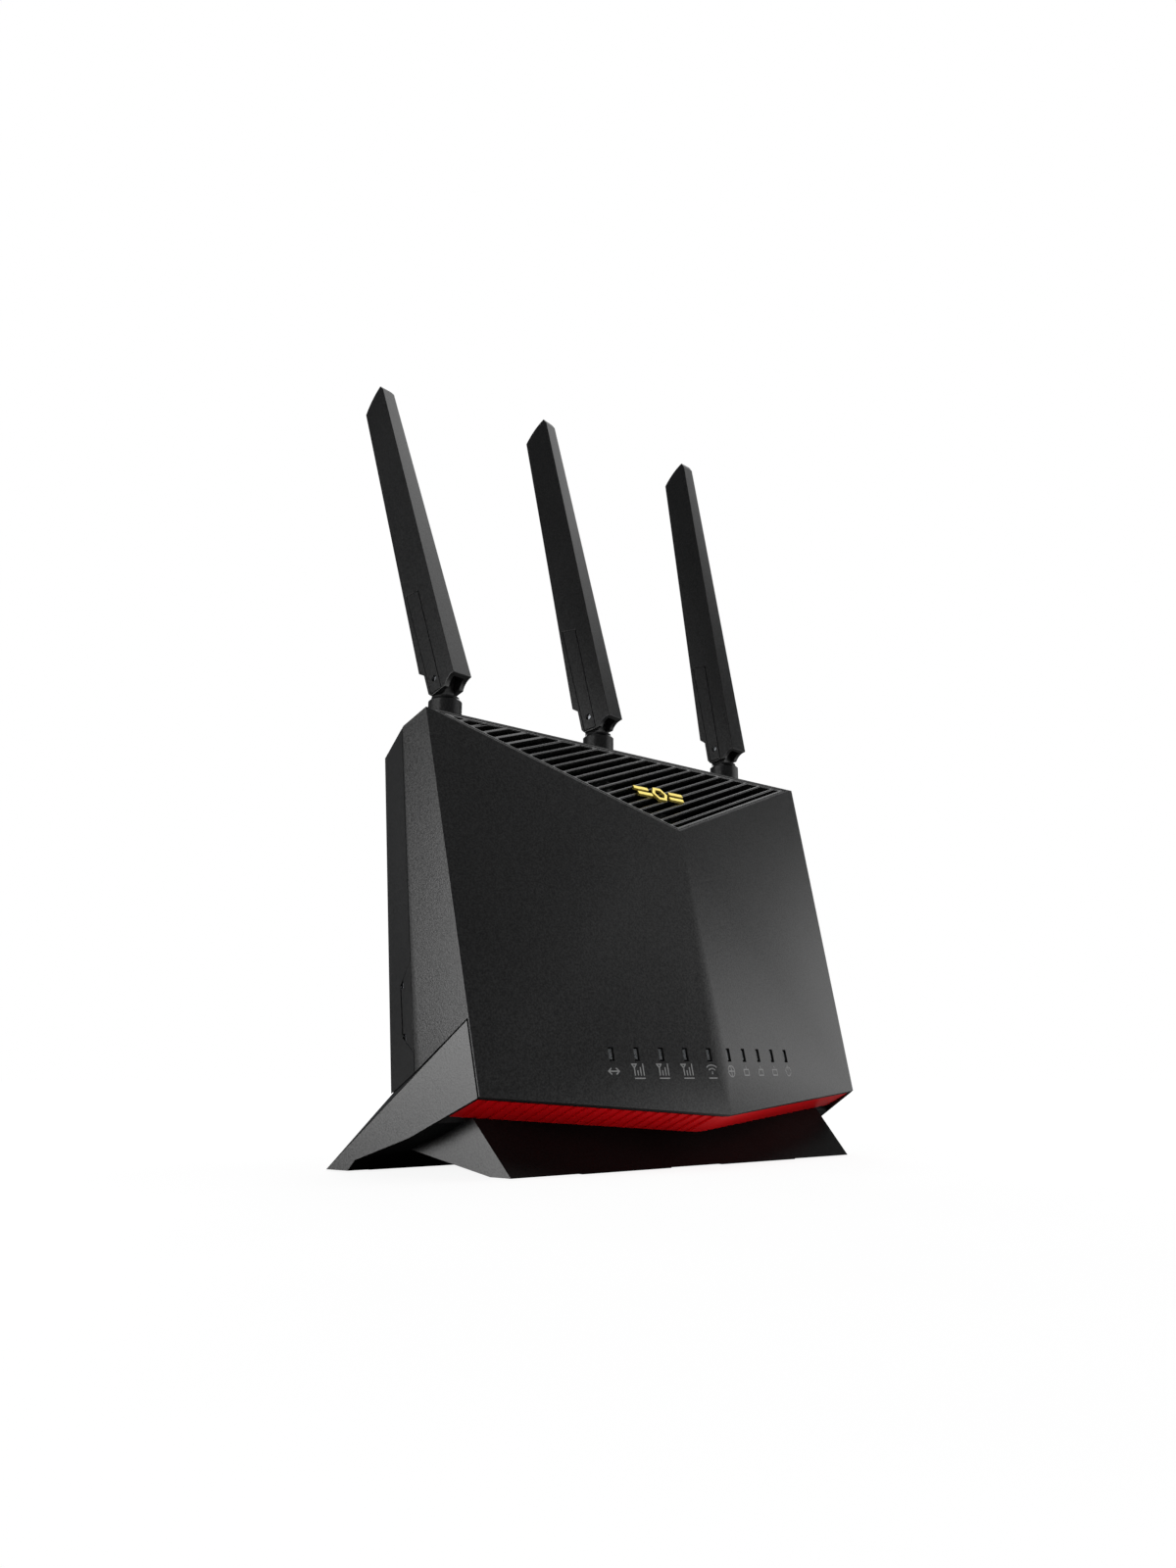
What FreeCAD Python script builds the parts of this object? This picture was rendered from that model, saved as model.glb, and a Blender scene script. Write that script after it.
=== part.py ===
import FreeCAD, Part
import math
import os

# Desktop mobile-network router: a faceted upright housing on a flared stand, with three
# folding antennas. Millimetres, +X to the right, +Y to the back, +Z up.
# It is modelled with y = 0 at the front foot, and moved at the end so that the origin is
# the centre of the bottom of its bounding box.

V = FreeCAD.Vector
X_AXIS = V(1, 0, 0)
Z_AXIS = V(0, 0, 1)
BIG = 900.0

# ---- housing: corners of the right half; the left half mirrors them ----
TOP_CORNER = V(97.8, 34.1, 158.8)      # end of the top ridge
LOW_CORNER = V(91.0, 3.3, 24.7)        # outer bottom corner of a front panel
LOW_POINT = V(0, -16.0, 17.9)          # bottom of the front ridge
PEAK_Z = 121.4                         # height of the top of the front ridge
BEVEL_TOP = V(99.7, 46.4, 151.5)       # front line of the bevel beside the seam
BEVEL_LOW = V(95.8, 32.0, 34.3)
SEAM_TOP = V(99.4, 48.2, 153.0)        # seam between the two housing halves
SEAM_LOW = V(95.9, 36.3, 37.8)
BACK_TOP = V(96.0, 66.5, 147.0)        # back corner under the top slope
BACK_LOW = V(91.3, 58.6, 24.5)         # back corner where the stand begins
CHIN_RUN = V(0, 16.0, -6.5)            # from a front panel's foot to the chin's lower edge
WALL = 2.6
SEAM_GAP = 0.3
EMBLEM_UP = 20.5                       # along the grille's slope, from its front corner

# ---- top grille ----
GRILLE_THICK = 2.4
GRILLE_LIP = 1.0                       # housing edge left around the insert
GRILLE_RIM = 2.4
RIB_PITCH = 3.7
RIB_WIDTH = 1.1
PLAY = 0.15                            # gap around an insert in its opening

# ---- status lights ----
LIGHT_COUNT = 10
LIGHT_PITCH = 9.58
LIGHT_Z = 38.0
LIGHT_SLOT = (2.0, 4.6)
LIGHT_PIPE = (1.3, 3.6)
LIGHT_BOARD_Y = 14.0

LIGHT_SLOT_END_Y = 9.0                 # the slots are cut through the front panels up to here
LIGHT_CHIP = (1.2, 2.4)
LIGHT_CHIP_TALL = 0.7
LIGHT_BOARD_THICK = 1.2
LIGHT_BOARD_SPAN_Z = (-7.0, 5.0)       # board's lower and upper edge, from the lights
PIPE_SINK = 0.7                        # pipe ends below the front panels' outer face
HOLDER_Y = (-5.4, -1.4)                # holder's front and back, from the light board
HOLDER_HALF_Z = 4.6
RIBBON_X = (-8.0, 16.0)                # left edge and width
RIBBON_THICK = 0.4

# ---- housing screws; their bosses run along Y ----
BOSS_SPOTS = ((-58.0, 112.0), (58.0, 112.0), (-78.0, 47.0), (78.0, 47.0))   # x, height up the back
BOSS_RADIUS = 3.4
BOSS_SLEEVE_RADIUS = 4.4
BOSS_END = -14.0                       # from the back wall's outer face
SCREW_RADIUS = 1.4
SCREW_HEAD = 2.7
SCREW_HEAD_TALL = 2.0
SCREW_SEAT = -8.0                      # head's underside, from the back wall's outer face
SCREW_PLAY = 0.05
HEAD_PLAY = 0.3
RECESS_RADIUS = 1.1
RECESS_DEEP = 1.0

# ---- chin panel ----
CHIN_DROP = 0.7                        # dark gap under the front panels
CHIN_BACK_Y = 21.0
CHIN_PLAY = 0.15
CHIN_WALL = 2.4
CHIN_HOLLOW_HALF = 85.0
LOUVRE_COUNT = 21
LOUVRE_DEPTH = 0.8

# ---- stand ----
WING_TOP = V(92.4, 9.3, 48.3)          # where the wing's top edge leaves the front panel
WING_MID = V(99.5, 31.2, 11.6)         # on the wing's lower edge
WING_LOW = V(106.4, 54.1, 3.9)
TIP_FRONT = V(108.4, 57.5, 0)
TIP_BACK = V(110.4, 67.4, 0)
FOOT_DEPTH = 8.4                       # flat of the front foot
FOOT_HALF = 81.0
LEG_TOP = (31.0, 20.0)                 # leg's height in front, where it climbs at 45 degrees, and behind
LEG_HEEL = V(83.1, 8.4, 0)             # three corners of the leg's outer side
LEG_CROWN = V(84.4, 18.6, 17.6)
TUNNEL_END = V(0, 57.3, 9.8)           # top back corner of the space under the stand
WING_INSET = 1.4
WING_SKIN = 1.2                        # what the wing keeps outside the chin's ends
LIP = 0.5                              # front panel edge that stays in front of the wing
PAD_PROUD = 0.4                        # rubber feet below the stand
PAD_SIZE = V(40, 5, 1.4)
PAD_SPOTS = (V(-52, 1.7, 0), V(12, 1.7, 0), V(-98, 60.3, 0), V(58, 60.3, 0))
STAND_SCREW_SPOTS = ((-62.0, 44.0), (62.0, 44.0))
STAND_SCREW_Z = (8.6, 10.4, 23.0)      # head's lower face, its seat and the screw's end
STAND_POST_Z = (17.0, 24.0)
STAND_POST_RADIUS = 3.4

# ---- back: sockets, buttons and boards, in the leaning frame of the back wall ----
PORT_BAY = (-77.5, 78.5, 3.5, 25.0)    # left, right, bottom, top on the back wall
PORT_SINK = 1.6                        # port panel below the back wall
PANEL_THICK = 1.6
PORT_HEIGHT = 13.0
WAN_X = 0.0
LAN_X = (17.5, 34.5, 51.5, 68.5)
USB_X = -18.0
RESET_X = -30.5
WPS_X = -40.0
POWER_X = -53.0
INLET_X = -68.5
JACK_SIZE = V(15.6, 17.5, 13.4)
JACK_MOUTH = V(11.8, 12.5, 6.9)
USB_SIZE = V(13.2, 14.0, 5.8)
INLET_SIZE = V(9.6, 14.0, 11.4)
INLET_RADIUS = 3.1
INLET_PIN_RADIUS = 1.05
BOARD_DEPTH = 20.7                     # back wall's outer face to the board's back face
BOARD_THICK = 1.6
BOARD_HALF = 84.0
BOARD_LOW = 5.0
BOARD_HIGH = 110.0
POST_SPOTS = ((-60.0, 31.0), (80.0, 31.0), (-78.0, 102.0), (78.0, 102.0))
VENT_ROWS = 3
VENT_COUNT = 22
VENT_SLOT = V(2.2, 12, 14.0)
VENT_PITCH = 6.0
VENT_ROW_PITCH = 18.0
VENT_LOW = 48.0

# ---- buttons ----
POWER_TRAVEL = 2.5
WPS_TRAVEL = 0.8
RESET_TRAVEL = 0.6
POWER_RADIUS = 4.4
WPS_RADIUS = 3.2
RESET_RADIUS = 0.9
BUTTON_PLAY = 0.2
SWITCH_GAP = 0.25
FLANGE_GROW = 0.9
FLANGE_THICK = 1.2
STEM_RADIUS = 1.6
ACTUATOR_TALL = 0.8
ACTUATOR_RADIUS = 1.5
# x, radius, travel, height above the port panel, switch face, switch half width
BUTTONS = {
    "power_button": (POWER_X, POWER_RADIUS, POWER_TRAVEL, 1.4, -11.2, 3.4),
    "wps_button": (WPS_X, WPS_RADIUS, WPS_TRAVEL, 0.4, -12.4, 2.6),
    "reset_button": (RESET_X, RESET_RADIUS, RESET_TRAVEL, -2.2, -12.4, 2.6),
}

# ---- main board and cooling ----
BOARD_HOLE_RADIUS = 1.6
BOSS_HOLE_RADIUS = 6.5                 # hole in the board round a housing screw's boss
POST_RADIUS = 3.2
POST_PILOT_RADIUS = 1.15
BOARD_SCREW_RADIUS = 1.1
BOARD_SCREW_HEAD = 2.6
BOARD_SCREW_TALL = 1.6
CHIPS = ((-22.0, 62.0, 19.0), (18.0, 66.0, 14.0))         # x, height up the board, side
CHIP_THICK = 1.3
SHIELD_LOW = ((-82.0, 71.0), (34.0, 71.0))                # lower left corner: x, height
SHIELD_SIZE = V(30.0, 3.0, 26.0)
SHIELD_WALL = 0.3
PAD_THICK = 1.0
SINK_LOW = V(-36.0, 0, 48.0)
SINK_SIZE = V(66.0, 14.0, 44.0)
SINK_BASE = 3.0
FIN_COUNT = 14
FIN_THICK = 1.1
CARD_LOW = V(44.0, 0, 22.0)
CARD_SIZE = V(30.0, 0.8, 42.0)
CARD_GAP = 2.2                         # card above the board
CARD_LID = (V(3, -2.2, 12), V(27, 0, 38))
CARD_SOCKET = V(26, 4.4, 6.5)
LEAD_RADIUS = 0.7
LEAD_BEND = 2.0

# ---- SIM card door, on the left side behind the seam ----
DOOR_TOP_Z = 69.0
DOOR_LOW_Z = 38.5
DOOR_BACK_TOP = (49.3, 60.8)           # y, z
DOOR_BACK_LOW = (47.3, 43.8)
DOOR_THICK = 1.6
KNUCKLE_RADIUS = 1.15
DOOR_PIN_RADIUS = 0.5
DOOR_GAP = 0.25
DOOR_REST = 1.9                        # depth of the opening's ledge
DOOR_KNUCKLE_INSET = 0.8               # knuckle's ends, from the door's back corners
DOOR_RELIEF_RADIUS = 2.3               # round each hinge end, so that the corners clear the wall
DOOR_RELIEF_LENGTH = 4.5
DOOR_PIN_REACH = (3.4, 2.9)            # pin beyond the knuckle, above and below
SIM_SOCKET_LOW = V(-85.0, -20.6, 16.0)
SIM_SOCKET_SIZE = V(17, 2.6, 19)

# ---- antennas ----
SIDES = ("left", "middle", "right")
ANTENNA_X = 76.5
ANTENNA_Y = 56.5
ANTENNA_SWIVEL = {"left": -8.8, "middle": -12.4, "right": -4.7}
ANTENNA_TILT = {"left": 20.8, "middle": 13.8, "right": 9.6}
BUSH_RADIUS = 8.2
BUSH_TOP = 157.0
BUSH_LOW = 141.0
SHAFT_RADIUS = 4.5
SHAFT_LOW = 137.5
RUNNING_FIT = 0.05
COLLAR_RADIUS = 6.55
COLLAR_LOW = 157.3
COLLAR_TOP = 171.8
COLLAR_CHAMFER = 1.2
NECK_RADIUS = 5.4
NECK_TOP = 172.4
CABLE_BORE = 1.5
PIVOT_BACK = 1.8                       # pivot behind the collar's own axis
PIVOT_Z = 180.0
PIN_RADIUS = 1.2
PIN_SINK = (1.0, 0.6)                  # pin's ends below the blade's left and right face
GROOVE_TALL = 1.0
GROOVE_LOW = BUSH_LOW - 1.2
GROOVE_DEEP = 0.8
CLIP_GROW = 1.6
TONGUE_THICK = 4.6
CLEVIS_GAP = 5.2
TONGUE_RADIUS = 4.0
BLADE_FOOT_HALF = 4.65                 # half thickness at the pivot
BLADE_TIP_HALF = 3.2
BLADE_LENGTH = 160.0
BLADE_SKIN = 1.5
COVER_TOP = 43.0
COVER_RISE = 2.5                       # its top edge rises towards the back
COVER_FRONT = -2.7
COVER_BACK = 4.6
COVER_BACK_LOW = 3.4
COVER_FOOT_Z = (-6.0, -5.4)            # front and back end of its foot edge
COVER_THICK = 0.9
COVER_GAP = 0.2
RADIATOR = (V(-8, -6.5, 18), V(8, 2.0, 140), 0.8)         # corners, then thickness


# ---------------------------------------------------------------- small helpers
def mirrored(point):
    return V(-point.x, point.y, point.z)


def trim(solid, point, outward):
    """Cuts off what lies beyond the plane through point, on the side outward points to."""
    block = Part.makeBox(BIG, BIG, BIG, V(-BIG / 2, -BIG / 2, 0))
    block.Placement = FreeCAD.Placement(point, FreeCAD.Rotation(Z_AXIS, outward))
    return solid.cut(block)


def normal_of(a, b, c, inside):
    """Unit normal of the plane through three points, pointing away from inside."""
    normal = (b - a).cross(c - a)
    normal.normalize()
    return normal if (a - inside).dot(normal) > 0 else normal * -1


def both_sides(faces):
    """Adds the mirror image of each (point, normal) face in the plane x = 0."""
    return faces + [(mirrored(point), mirrored(normal)) for point, normal in faces]


def box(low, high):
    return Part.makeBox(high.x - low.x, high.y - low.y, high.z - low.z, low)


def prism(points, run):
    """A flat polygon pushed along run."""
    return Part.Face(Part.makePolygon(points + [points[0]])).extrude(run)


def along_x(profile, half):
    """A (y, z) outline as a bar from -half to +half in X."""
    return prism([V(-half, y, z) for y, z in profile], V(2 * half, 0, 0))


def rod(radius, start, end):
    return Part.makeCylinder(radius, (end - start).Length, start, end - start)


def joined(shapes):
    """One solid from several that touch or overlap."""
    whole = shapes[0].multiFuse(shapes[1:]) if len(shapes) > 1 else shapes[0]
    return whole.removeSplitter()


def group(shapes):
    return Part.makeCompound(shapes)


def height_on(face, x, z):
    """The y of a (point, normal) face at x, z."""
    point, normal = face
    return point.y - (normal.x * (x - point.x) + normal.z * (z - point.z)) / normal.y


# ---------------------------------------------------------------- housing volume
INSIDE = V(0, 35, 80)
PANEL_FACE = (LOW_CORNER, normal_of(LOW_CORNER, LOW_POINT, TOP_CORNER, INSIDE))
PEAK = V(0, height_on(PANEL_FACE, 0, PEAK_Z), PEAK_Z)
GRILLE_FACE = (PEAK, normal_of(PEAK, TOP_CORNER, mirrored(TOP_CORNER), INSIDE))
TOP_FACE = (TOP_CORNER, normal_of(TOP_CORNER, mirrored(TOP_CORNER), BACK_TOP, INSIDE))
BACK_FACE = (BACK_LOW, normal_of(BACK_LOW, mirrored(BACK_LOW), BACK_TOP, INSIDE))
SIDE_FACE = (LOW_CORNER, normal_of(LOW_CORNER, TOP_CORNER, BEVEL_TOP, INSIDE))
BEVEL_FACE = (BEVEL_TOP, normal_of(BEVEL_TOP, BEVEL_LOW, SEAM_LOW, INSIDE))
REAR_SIDE_FACE = (SEAM_TOP, normal_of(SEAM_TOP, SEAM_LOW, BACK_TOP, INSIDE))
CHIN_EDGE = LOW_POINT + CHIN_RUN
CHIN_FACE = (LOW_POINT, normal_of(LOW_POINT, LOW_CORNER, CHIN_EDGE, INSIDE))
FLOOR_SLOPE = (LOW_CORNER.z - LOW_POINT.z) / LOW_CORNER.x
FLOOR_FACE = (CHIN_EDGE, V(FLOOR_SLOPE, 0, -1).normalize())
WING_FACE = (LOW_CORNER, normal_of(LOW_CORNER, WING_TOP, TIP_BACK, INSIDE))
SEAM_NORMAL = normal_of(SEAM_TOP, mirrored(SEAM_TOP), SEAM_LOW, V(0, 0, 80)).normalize()
BACK_LEAN = math.degrees(math.atan2(BACK_TOP.y - BACK_LOW.y, BACK_TOP.z - BACK_LOW.z))


def housing_volume(inset, side_inset=None):
    """The closed faceted volume, with every face moved in; the sides may have their own."""
    side = inset if side_inset is None else side_inset
    solid = box(V(-150, -50, -20), V(150, 120, 200))
    for point, normal in both_sides([PANEL_FACE, CHIN_FACE, FLOOR_FACE]):
        solid = trim(solid, point - normal * inset, normal)
    for point, normal in both_sides([SIDE_FACE, BEVEL_FACE, REAR_SIDE_FACE]):
        solid = trim(solid, point - normal * side, normal)
    for point, normal in (GRILLE_FACE, TOP_FACE, BACK_FACE):
        solid = trim(solid, point - normal * inset, normal)
    return solid


def on_back(shape):
    """From the back wall's frame (x, out of the wall, up the wall) to the model's frame."""
    shape.Placement = FreeCAD.Placement(
        V(0, BACK_LOW.y, BACK_LOW.z), FreeCAD.Rotation(X_AXIS, -BACK_LEAN)
    ).multiply(shape.Placement)
    return shape


def back_point(x, out, up):
    turn = FreeCAD.Rotation(X_AXIS, -BACK_LEAN)
    return V(0, BACK_LOW.y, BACK_LOW.z) + turn.multVec(V(x, out, up))


def chin_space(grow):
    """The space under the front panels that the chin panel fills, grown on top and behind."""
    top_low = LOW_POINT.z - CHIN_DROP + grow
    top_high = top_low + FLOOR_SLOPE * BIG
    outline = [V(-BIG, -60, top_high), V(0, -60, top_low), V(BIG, -60, top_high),
               V(BIG, -60, -60), V(-BIG, -60, -60)]
    return prism(outline, V(0, CHIN_BACK_Y + grow + 60, 0))


def wing_space(grow, front_inset):
    """The outer volume of the stand's two wings and back leg, before the housing is cut out."""
    solid = box(V(-150, -40, PAD_PROUD), V(150, 100, 80))
    crown_normal = normal_of(WING_TOP, TIP_BACK, BACK_LOW, V(100, 40, 0))
    for point, normal in both_sides([WING_FACE]):
        solid = trim(solid, point, normal)
    left = trim(solid, WING_TOP + crown_normal * grow, crown_normal)
    left = trim(left, V(0, 0, 0), V(-1, 0, 0))
    solid = joined([left, left.mirror(V(0, 0, 0), X_AXIS)])
    skirt_normal = normal_of(BACK_LOW, mirrored(BACK_LOW), TIP_BACK, V(0, 30, 10))
    solid = trim(solid, BACK_LOW + skirt_normal * grow, skirt_normal)
    for point, normal in both_sides([PANEL_FACE]):
        solid = trim(solid, point - normal * front_inset, normal)
    under = [(-60, -40), (-60, LOW_CORNER.z + 30), (LOW_CORNER.y - 20, LOW_CORNER.z + 9.4)]
    under += [(p.y, p.z) for p in (LOW_CORNER, WING_MID, WING_LOW, TIP_FRONT)]
    under += [(TIP_FRONT.y, -40)]
    return solid.cut(along_x(under, 150))


def wing_notch():
    """What the housing gives up so that the wings lie flush at the front panels' edges."""
    space = wing_space(SEAM_GAP, LIP)
    return space.cut(housing_volume(0, WING_INSET + 0.2))


def before_seam(solid, gap):
    return trim(solid, SEAM_LOW - SEAM_NORMAL * gap, SEAM_NORMAL)


def behind_seam(solid, gap):
    return trim(solid, SEAM_LOW + SEAM_NORMAL * gap, SEAM_NORMAL * -1)


# ---------------------------------------------------------------- front housing and grille
GRILLE_UP = (V(0, TOP_CORNER.y, TOP_CORNER.z) - PEAK).normalize()
GRILLE_RISE = (V(0, TOP_CORNER.y, TOP_CORNER.z) - PEAK).Length
RIB_ANGLE = math.degrees(math.atan2(GRILLE_RISE, TOP_CORNER.x))


def on_grille(shape):
    """From the grille's frame (x, up the slope, out of it) to the model's frame."""
    turn = FreeCAD.Rotation(X_AXIS, GRILLE_UP, GRILLE_FACE[1], "ZXY")
    shape.Placement = FreeCAD.Placement(PEAK, turn).multiply(shape.Placement)
    return shape


def grille_triangle(inset, low, high):
    """The grille's triangle with its edges moved in, between two depths of its frame."""
    slope = math.radians(RIB_ANGLE)
    bottom = inset / math.cos(slope)
    half = (GRILLE_RISE - inset - bottom) / math.tan(slope)
    points = [V(0, bottom, low), V(half, GRILLE_RISE - inset, low), V(-half, GRILLE_RISE - inset, low)]
    return prism(points, V(0, 0, high - low))


def light_x():
    return [(i - (LIGHT_COUNT - 1) / 2) * LIGHT_PITCH for i in range(LIGHT_COUNT)]


def light_bar(x, size, start_y, end_y):
    width, tall = size
    return box(V(x - width / 2, start_y, LIGHT_Z - tall / 2), V(x + width / 2, end_y, LIGHT_Z + tall / 2))


def boss_end(x, up, out):
    """A point on a housing screw's axis; the screws run square to the seam, along Y."""
    spot = back_point(x, 0, up)
    return V(x, spot.y + out, spot.z)


def front_housing():
    cavity = housing_volume(WALL).cut(chin_space(WALL))
    shell = before_seam(housing_volume(0), SEAM_GAP / 2).cut(cavity)
    shell = shell.cut(chin_space(0)).cut(wing_notch())
    shell = shell.cut(on_grille(grille_triangle(GRILLE_LIP, -12, 5)))
    shelf = on_grille(grille_triangle(0.2, -GRILLE_THICK - 1.8, -GRILLE_THICK - PLAY))
    shelf = shelf.cut(on_grille(grille_triangle(GRILLE_RIM - 0.2, -12, 5)))
    shelf = before_seam(shelf.common(housing_volume(0.4)), SEAM_GAP / 2)
    bosses = []
    for x, up in BOSS_SPOTS:
        bar = rod(BOSS_RADIUS, boss_end(x, up, BOSS_END) - V(0, 80, 0), boss_end(x, up, BOSS_END))
        bosses.append(bar.common(housing_volume(WALL - 0.3)))
    shell = joined([shell, shelf] + bosses)
    slots = [light_bar(x, LIGHT_SLOT, -40, LIGHT_SLOT_END_Y) for x in light_x()]
    pilots = []
    for x, up in BOSS_SPOTS:
        pilots.append(rod(SCREW_RADIUS, boss_end(x, up, BOSS_END - 12), boss_end(x, up, 4)))
    return shell.cut(group(slots)).cut(group(pilots))


def top_grille():
    plate = grille_triangle(GRILLE_LIP + PLAY, -GRILLE_THICK, 0)
    window = grille_triangle(GRILLE_RIM, -GRILLE_THICK - 1, 1)
    slope = math.radians(RIB_ANGLE)
    reach = 2 * TOP_CORNER.x * math.sin(slope)
    bars = []
    for k in range(int(reach / RIB_PITCH) + 1):
        bar = box(V(-200, 0, -GRILLE_THICK - 1), V(250, RIB_PITCH - RIB_WIDTH, 1))
        offset = V(-math.sin(slope), math.cos(slope), 0) * (RIB_WIDTH + k * RIB_PITCH)
        bar.Placement = FreeCAD.Placement(offset, FreeCAD.Rotation(Z_AXIS, RIB_ANGLE))
        bars.append(bar)
    slots = window.common(group(bars))
    return on_grille(plate.cut(slots))


def emblem():
    """A plain open hexagon between two pairs of short bars."""
    def hexagon(radius):
        corners = [V(radius * math.cos(math.radians(60 * k)), radius * math.sin(math.radians(60 * k)), 0)
                   for k in range(6)]
        return prism(corners, V(0, 0, 1.2))

    pieces = [hexagon(4.0).cut(hexagon(2.5))]
    for side in (-1, 1):
        for row in (-1, 1):
            inner = 4.6 + (0.9 if row > 0 else 0.0)
            ends = sorted((side * inner, side * (inner + 7.4)))
            pieces.append(box(V(ends[0], row * 1.5 - 0.8, 0), V(ends[1], row * 1.5 + 0.8, 1.2)))
    shape = group(pieces)
    shape.Placement = FreeCAD.Placement(V(0, EMBLEM_UP, 0), FreeCAD.Rotation())
    return on_grille(shape)


# ---------------------------------------------------------------- chin panel and stand
def chin_pocket(inset):
    """The room under the front panels and out to the inside of the wings' skin, open below."""
    solid = chin_space(-inset).common(box(V(-150, -60, -60), V(150, CHIN_BACK_Y - inset, 60)))
    for point, normal in both_sides([PANEL_FACE]):
        solid = trim(solid, point - normal * inset, normal)
    for point, normal in both_sides([WING_FACE]):
        solid = trim(solid, point - normal * (WING_SKIN + inset), normal)
    return solid


def chin_panel():
    """The coloured chin: two sloping faces with stepped louvres, open on top."""
    hollow = box(V(-CHIN_HOLLOW_HALF, -60, 0), V(CHIN_HOLLOW_HALF, CHIN_BACK_Y - CHIN_WALL, 60))
    block = chin_pocket(CHIN_PLAY)
    for point, outward in both_sides([CHIN_FACE, FLOOR_FACE]):
        block = trim(block, point - outward * CHIN_PLAY, outward)
    block = block.cut(housing_volume(CHIN_WALL).common(hollow))
    teeth = []
    normal = CHIN_FACE[1]
    step = (LOW_CORNER - LOW_POINT) * (1.0 / LOUVRE_COUNT)
    start = LOW_POINT - CHIN_RUN - normal * CHIN_PLAY
    for k in range(LOUVRE_COUNT):
        inner = start + step * k
        outer = start + step * (k + 1)
        lift = normal * 0.3
        foot = inner - normal * LOUVRE_DEPTH
        tooth = prism([outer, foot, inner + lift, outer + lift * 0.5], CHIN_RUN * 3)
        teeth += [tooth, tooth.mirror(V(0, 0, 0), X_AXIS)]
    return block.cut(group(teeth))


def front_leg():
    """The wedge under the housing: flat front foot, 45 degree face, underside rising back."""
    top, back_top = LEG_TOP
    outline = [(0, PAD_PROUD), (FOOT_DEPTH, PAD_PROUD), (TUNNEL_END.y, TUNNEL_END.z),
               (TUNNEL_END.y + 1, TUNNEL_END.z), (TUNNEL_END.y + 1, back_top), (top, top)]
    leg = along_x(outline, 120)
    side_normal = normal_of(V(FOOT_HALF, 0, 0), LEG_HEEL, LEG_CROWN, V(0, 10, 5))
    for point, normal in both_sides([(LEG_HEEL, side_normal)]):
        leg = trim(leg, point, normal)
    return leg


def stand_pad(spot, grow):
    return box(spot - V(grow, grow, 0), spot + PAD_SIZE + V(grow, grow, grow))


def stand():
    wings = wing_space(0, LIP + 0.35)
    body = wings.cut(housing_volume(0, WING_INSET)).cut(chin_pocket(0))
    lower = front_leg().cut(housing_volume(0))
    whole = joined([body, lower])
    whole = whole.cut(group([stand_pad(spot, 0.05) for spot in PAD_SPOTS]))
    holes = []
    for x, y in STAND_SCREW_SPOTS:
        holes.append(rod(SCREW_RADIUS + 0.2, V(x, y, 0), V(x, y, 40)))
        holes.append(rod(SCREW_HEAD + HEAD_PLAY, V(x, y, 0), V(x, y, STAND_SCREW_Z[1])))
    return whole.cut(group(holes))


def stand_screws():
    shapes = []
    low, seat, end = STAND_SCREW_Z
    for x, y in STAND_SCREW_SPOTS:
        head = rod(SCREW_HEAD, V(x, y, low), V(x, y, seat))
        recess = rod(RECESS_RADIUS, V(x, y, low), V(x, y, low + RECESS_DEEP))
        shaft = rod(SCREW_RADIUS - SCREW_PLAY, V(x, y, seat), V(x, y, end))
        shapes.append(joined([head, shaft]).cut(recess))
    return group(shapes)


def rubber_feet():
    return group([stand_pad(spot, 0) for spot in PAD_SPOTS])


# ---------------------------------------------------------------- rear housing
def antenna_axis_x(side):
    return {"left": -ANTENNA_X, "middle": 0.0, "right": ANTENNA_X}[side]


def bay_box(out_low, out_high, grow=0.0):
    left, right, low, high = PORT_BAY
    return on_back(box(V(left - grow, out_low, low - grow), V(right + grow, out_high, high + grow)))


def vents():
    slots = []
    for row in range(VENT_ROWS):
        up = VENT_LOW + row * VENT_ROW_PITCH
        for k in range(VENT_COUNT):
            x = (k - (VENT_COUNT - 1) / 2) * VENT_PITCH
            low = V(x - VENT_SLOT.x / 2, -VENT_SLOT.y / 2, up)
            slots.append(on_back(box(low, low + VENT_SLOT)))
    return group(slots)


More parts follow.
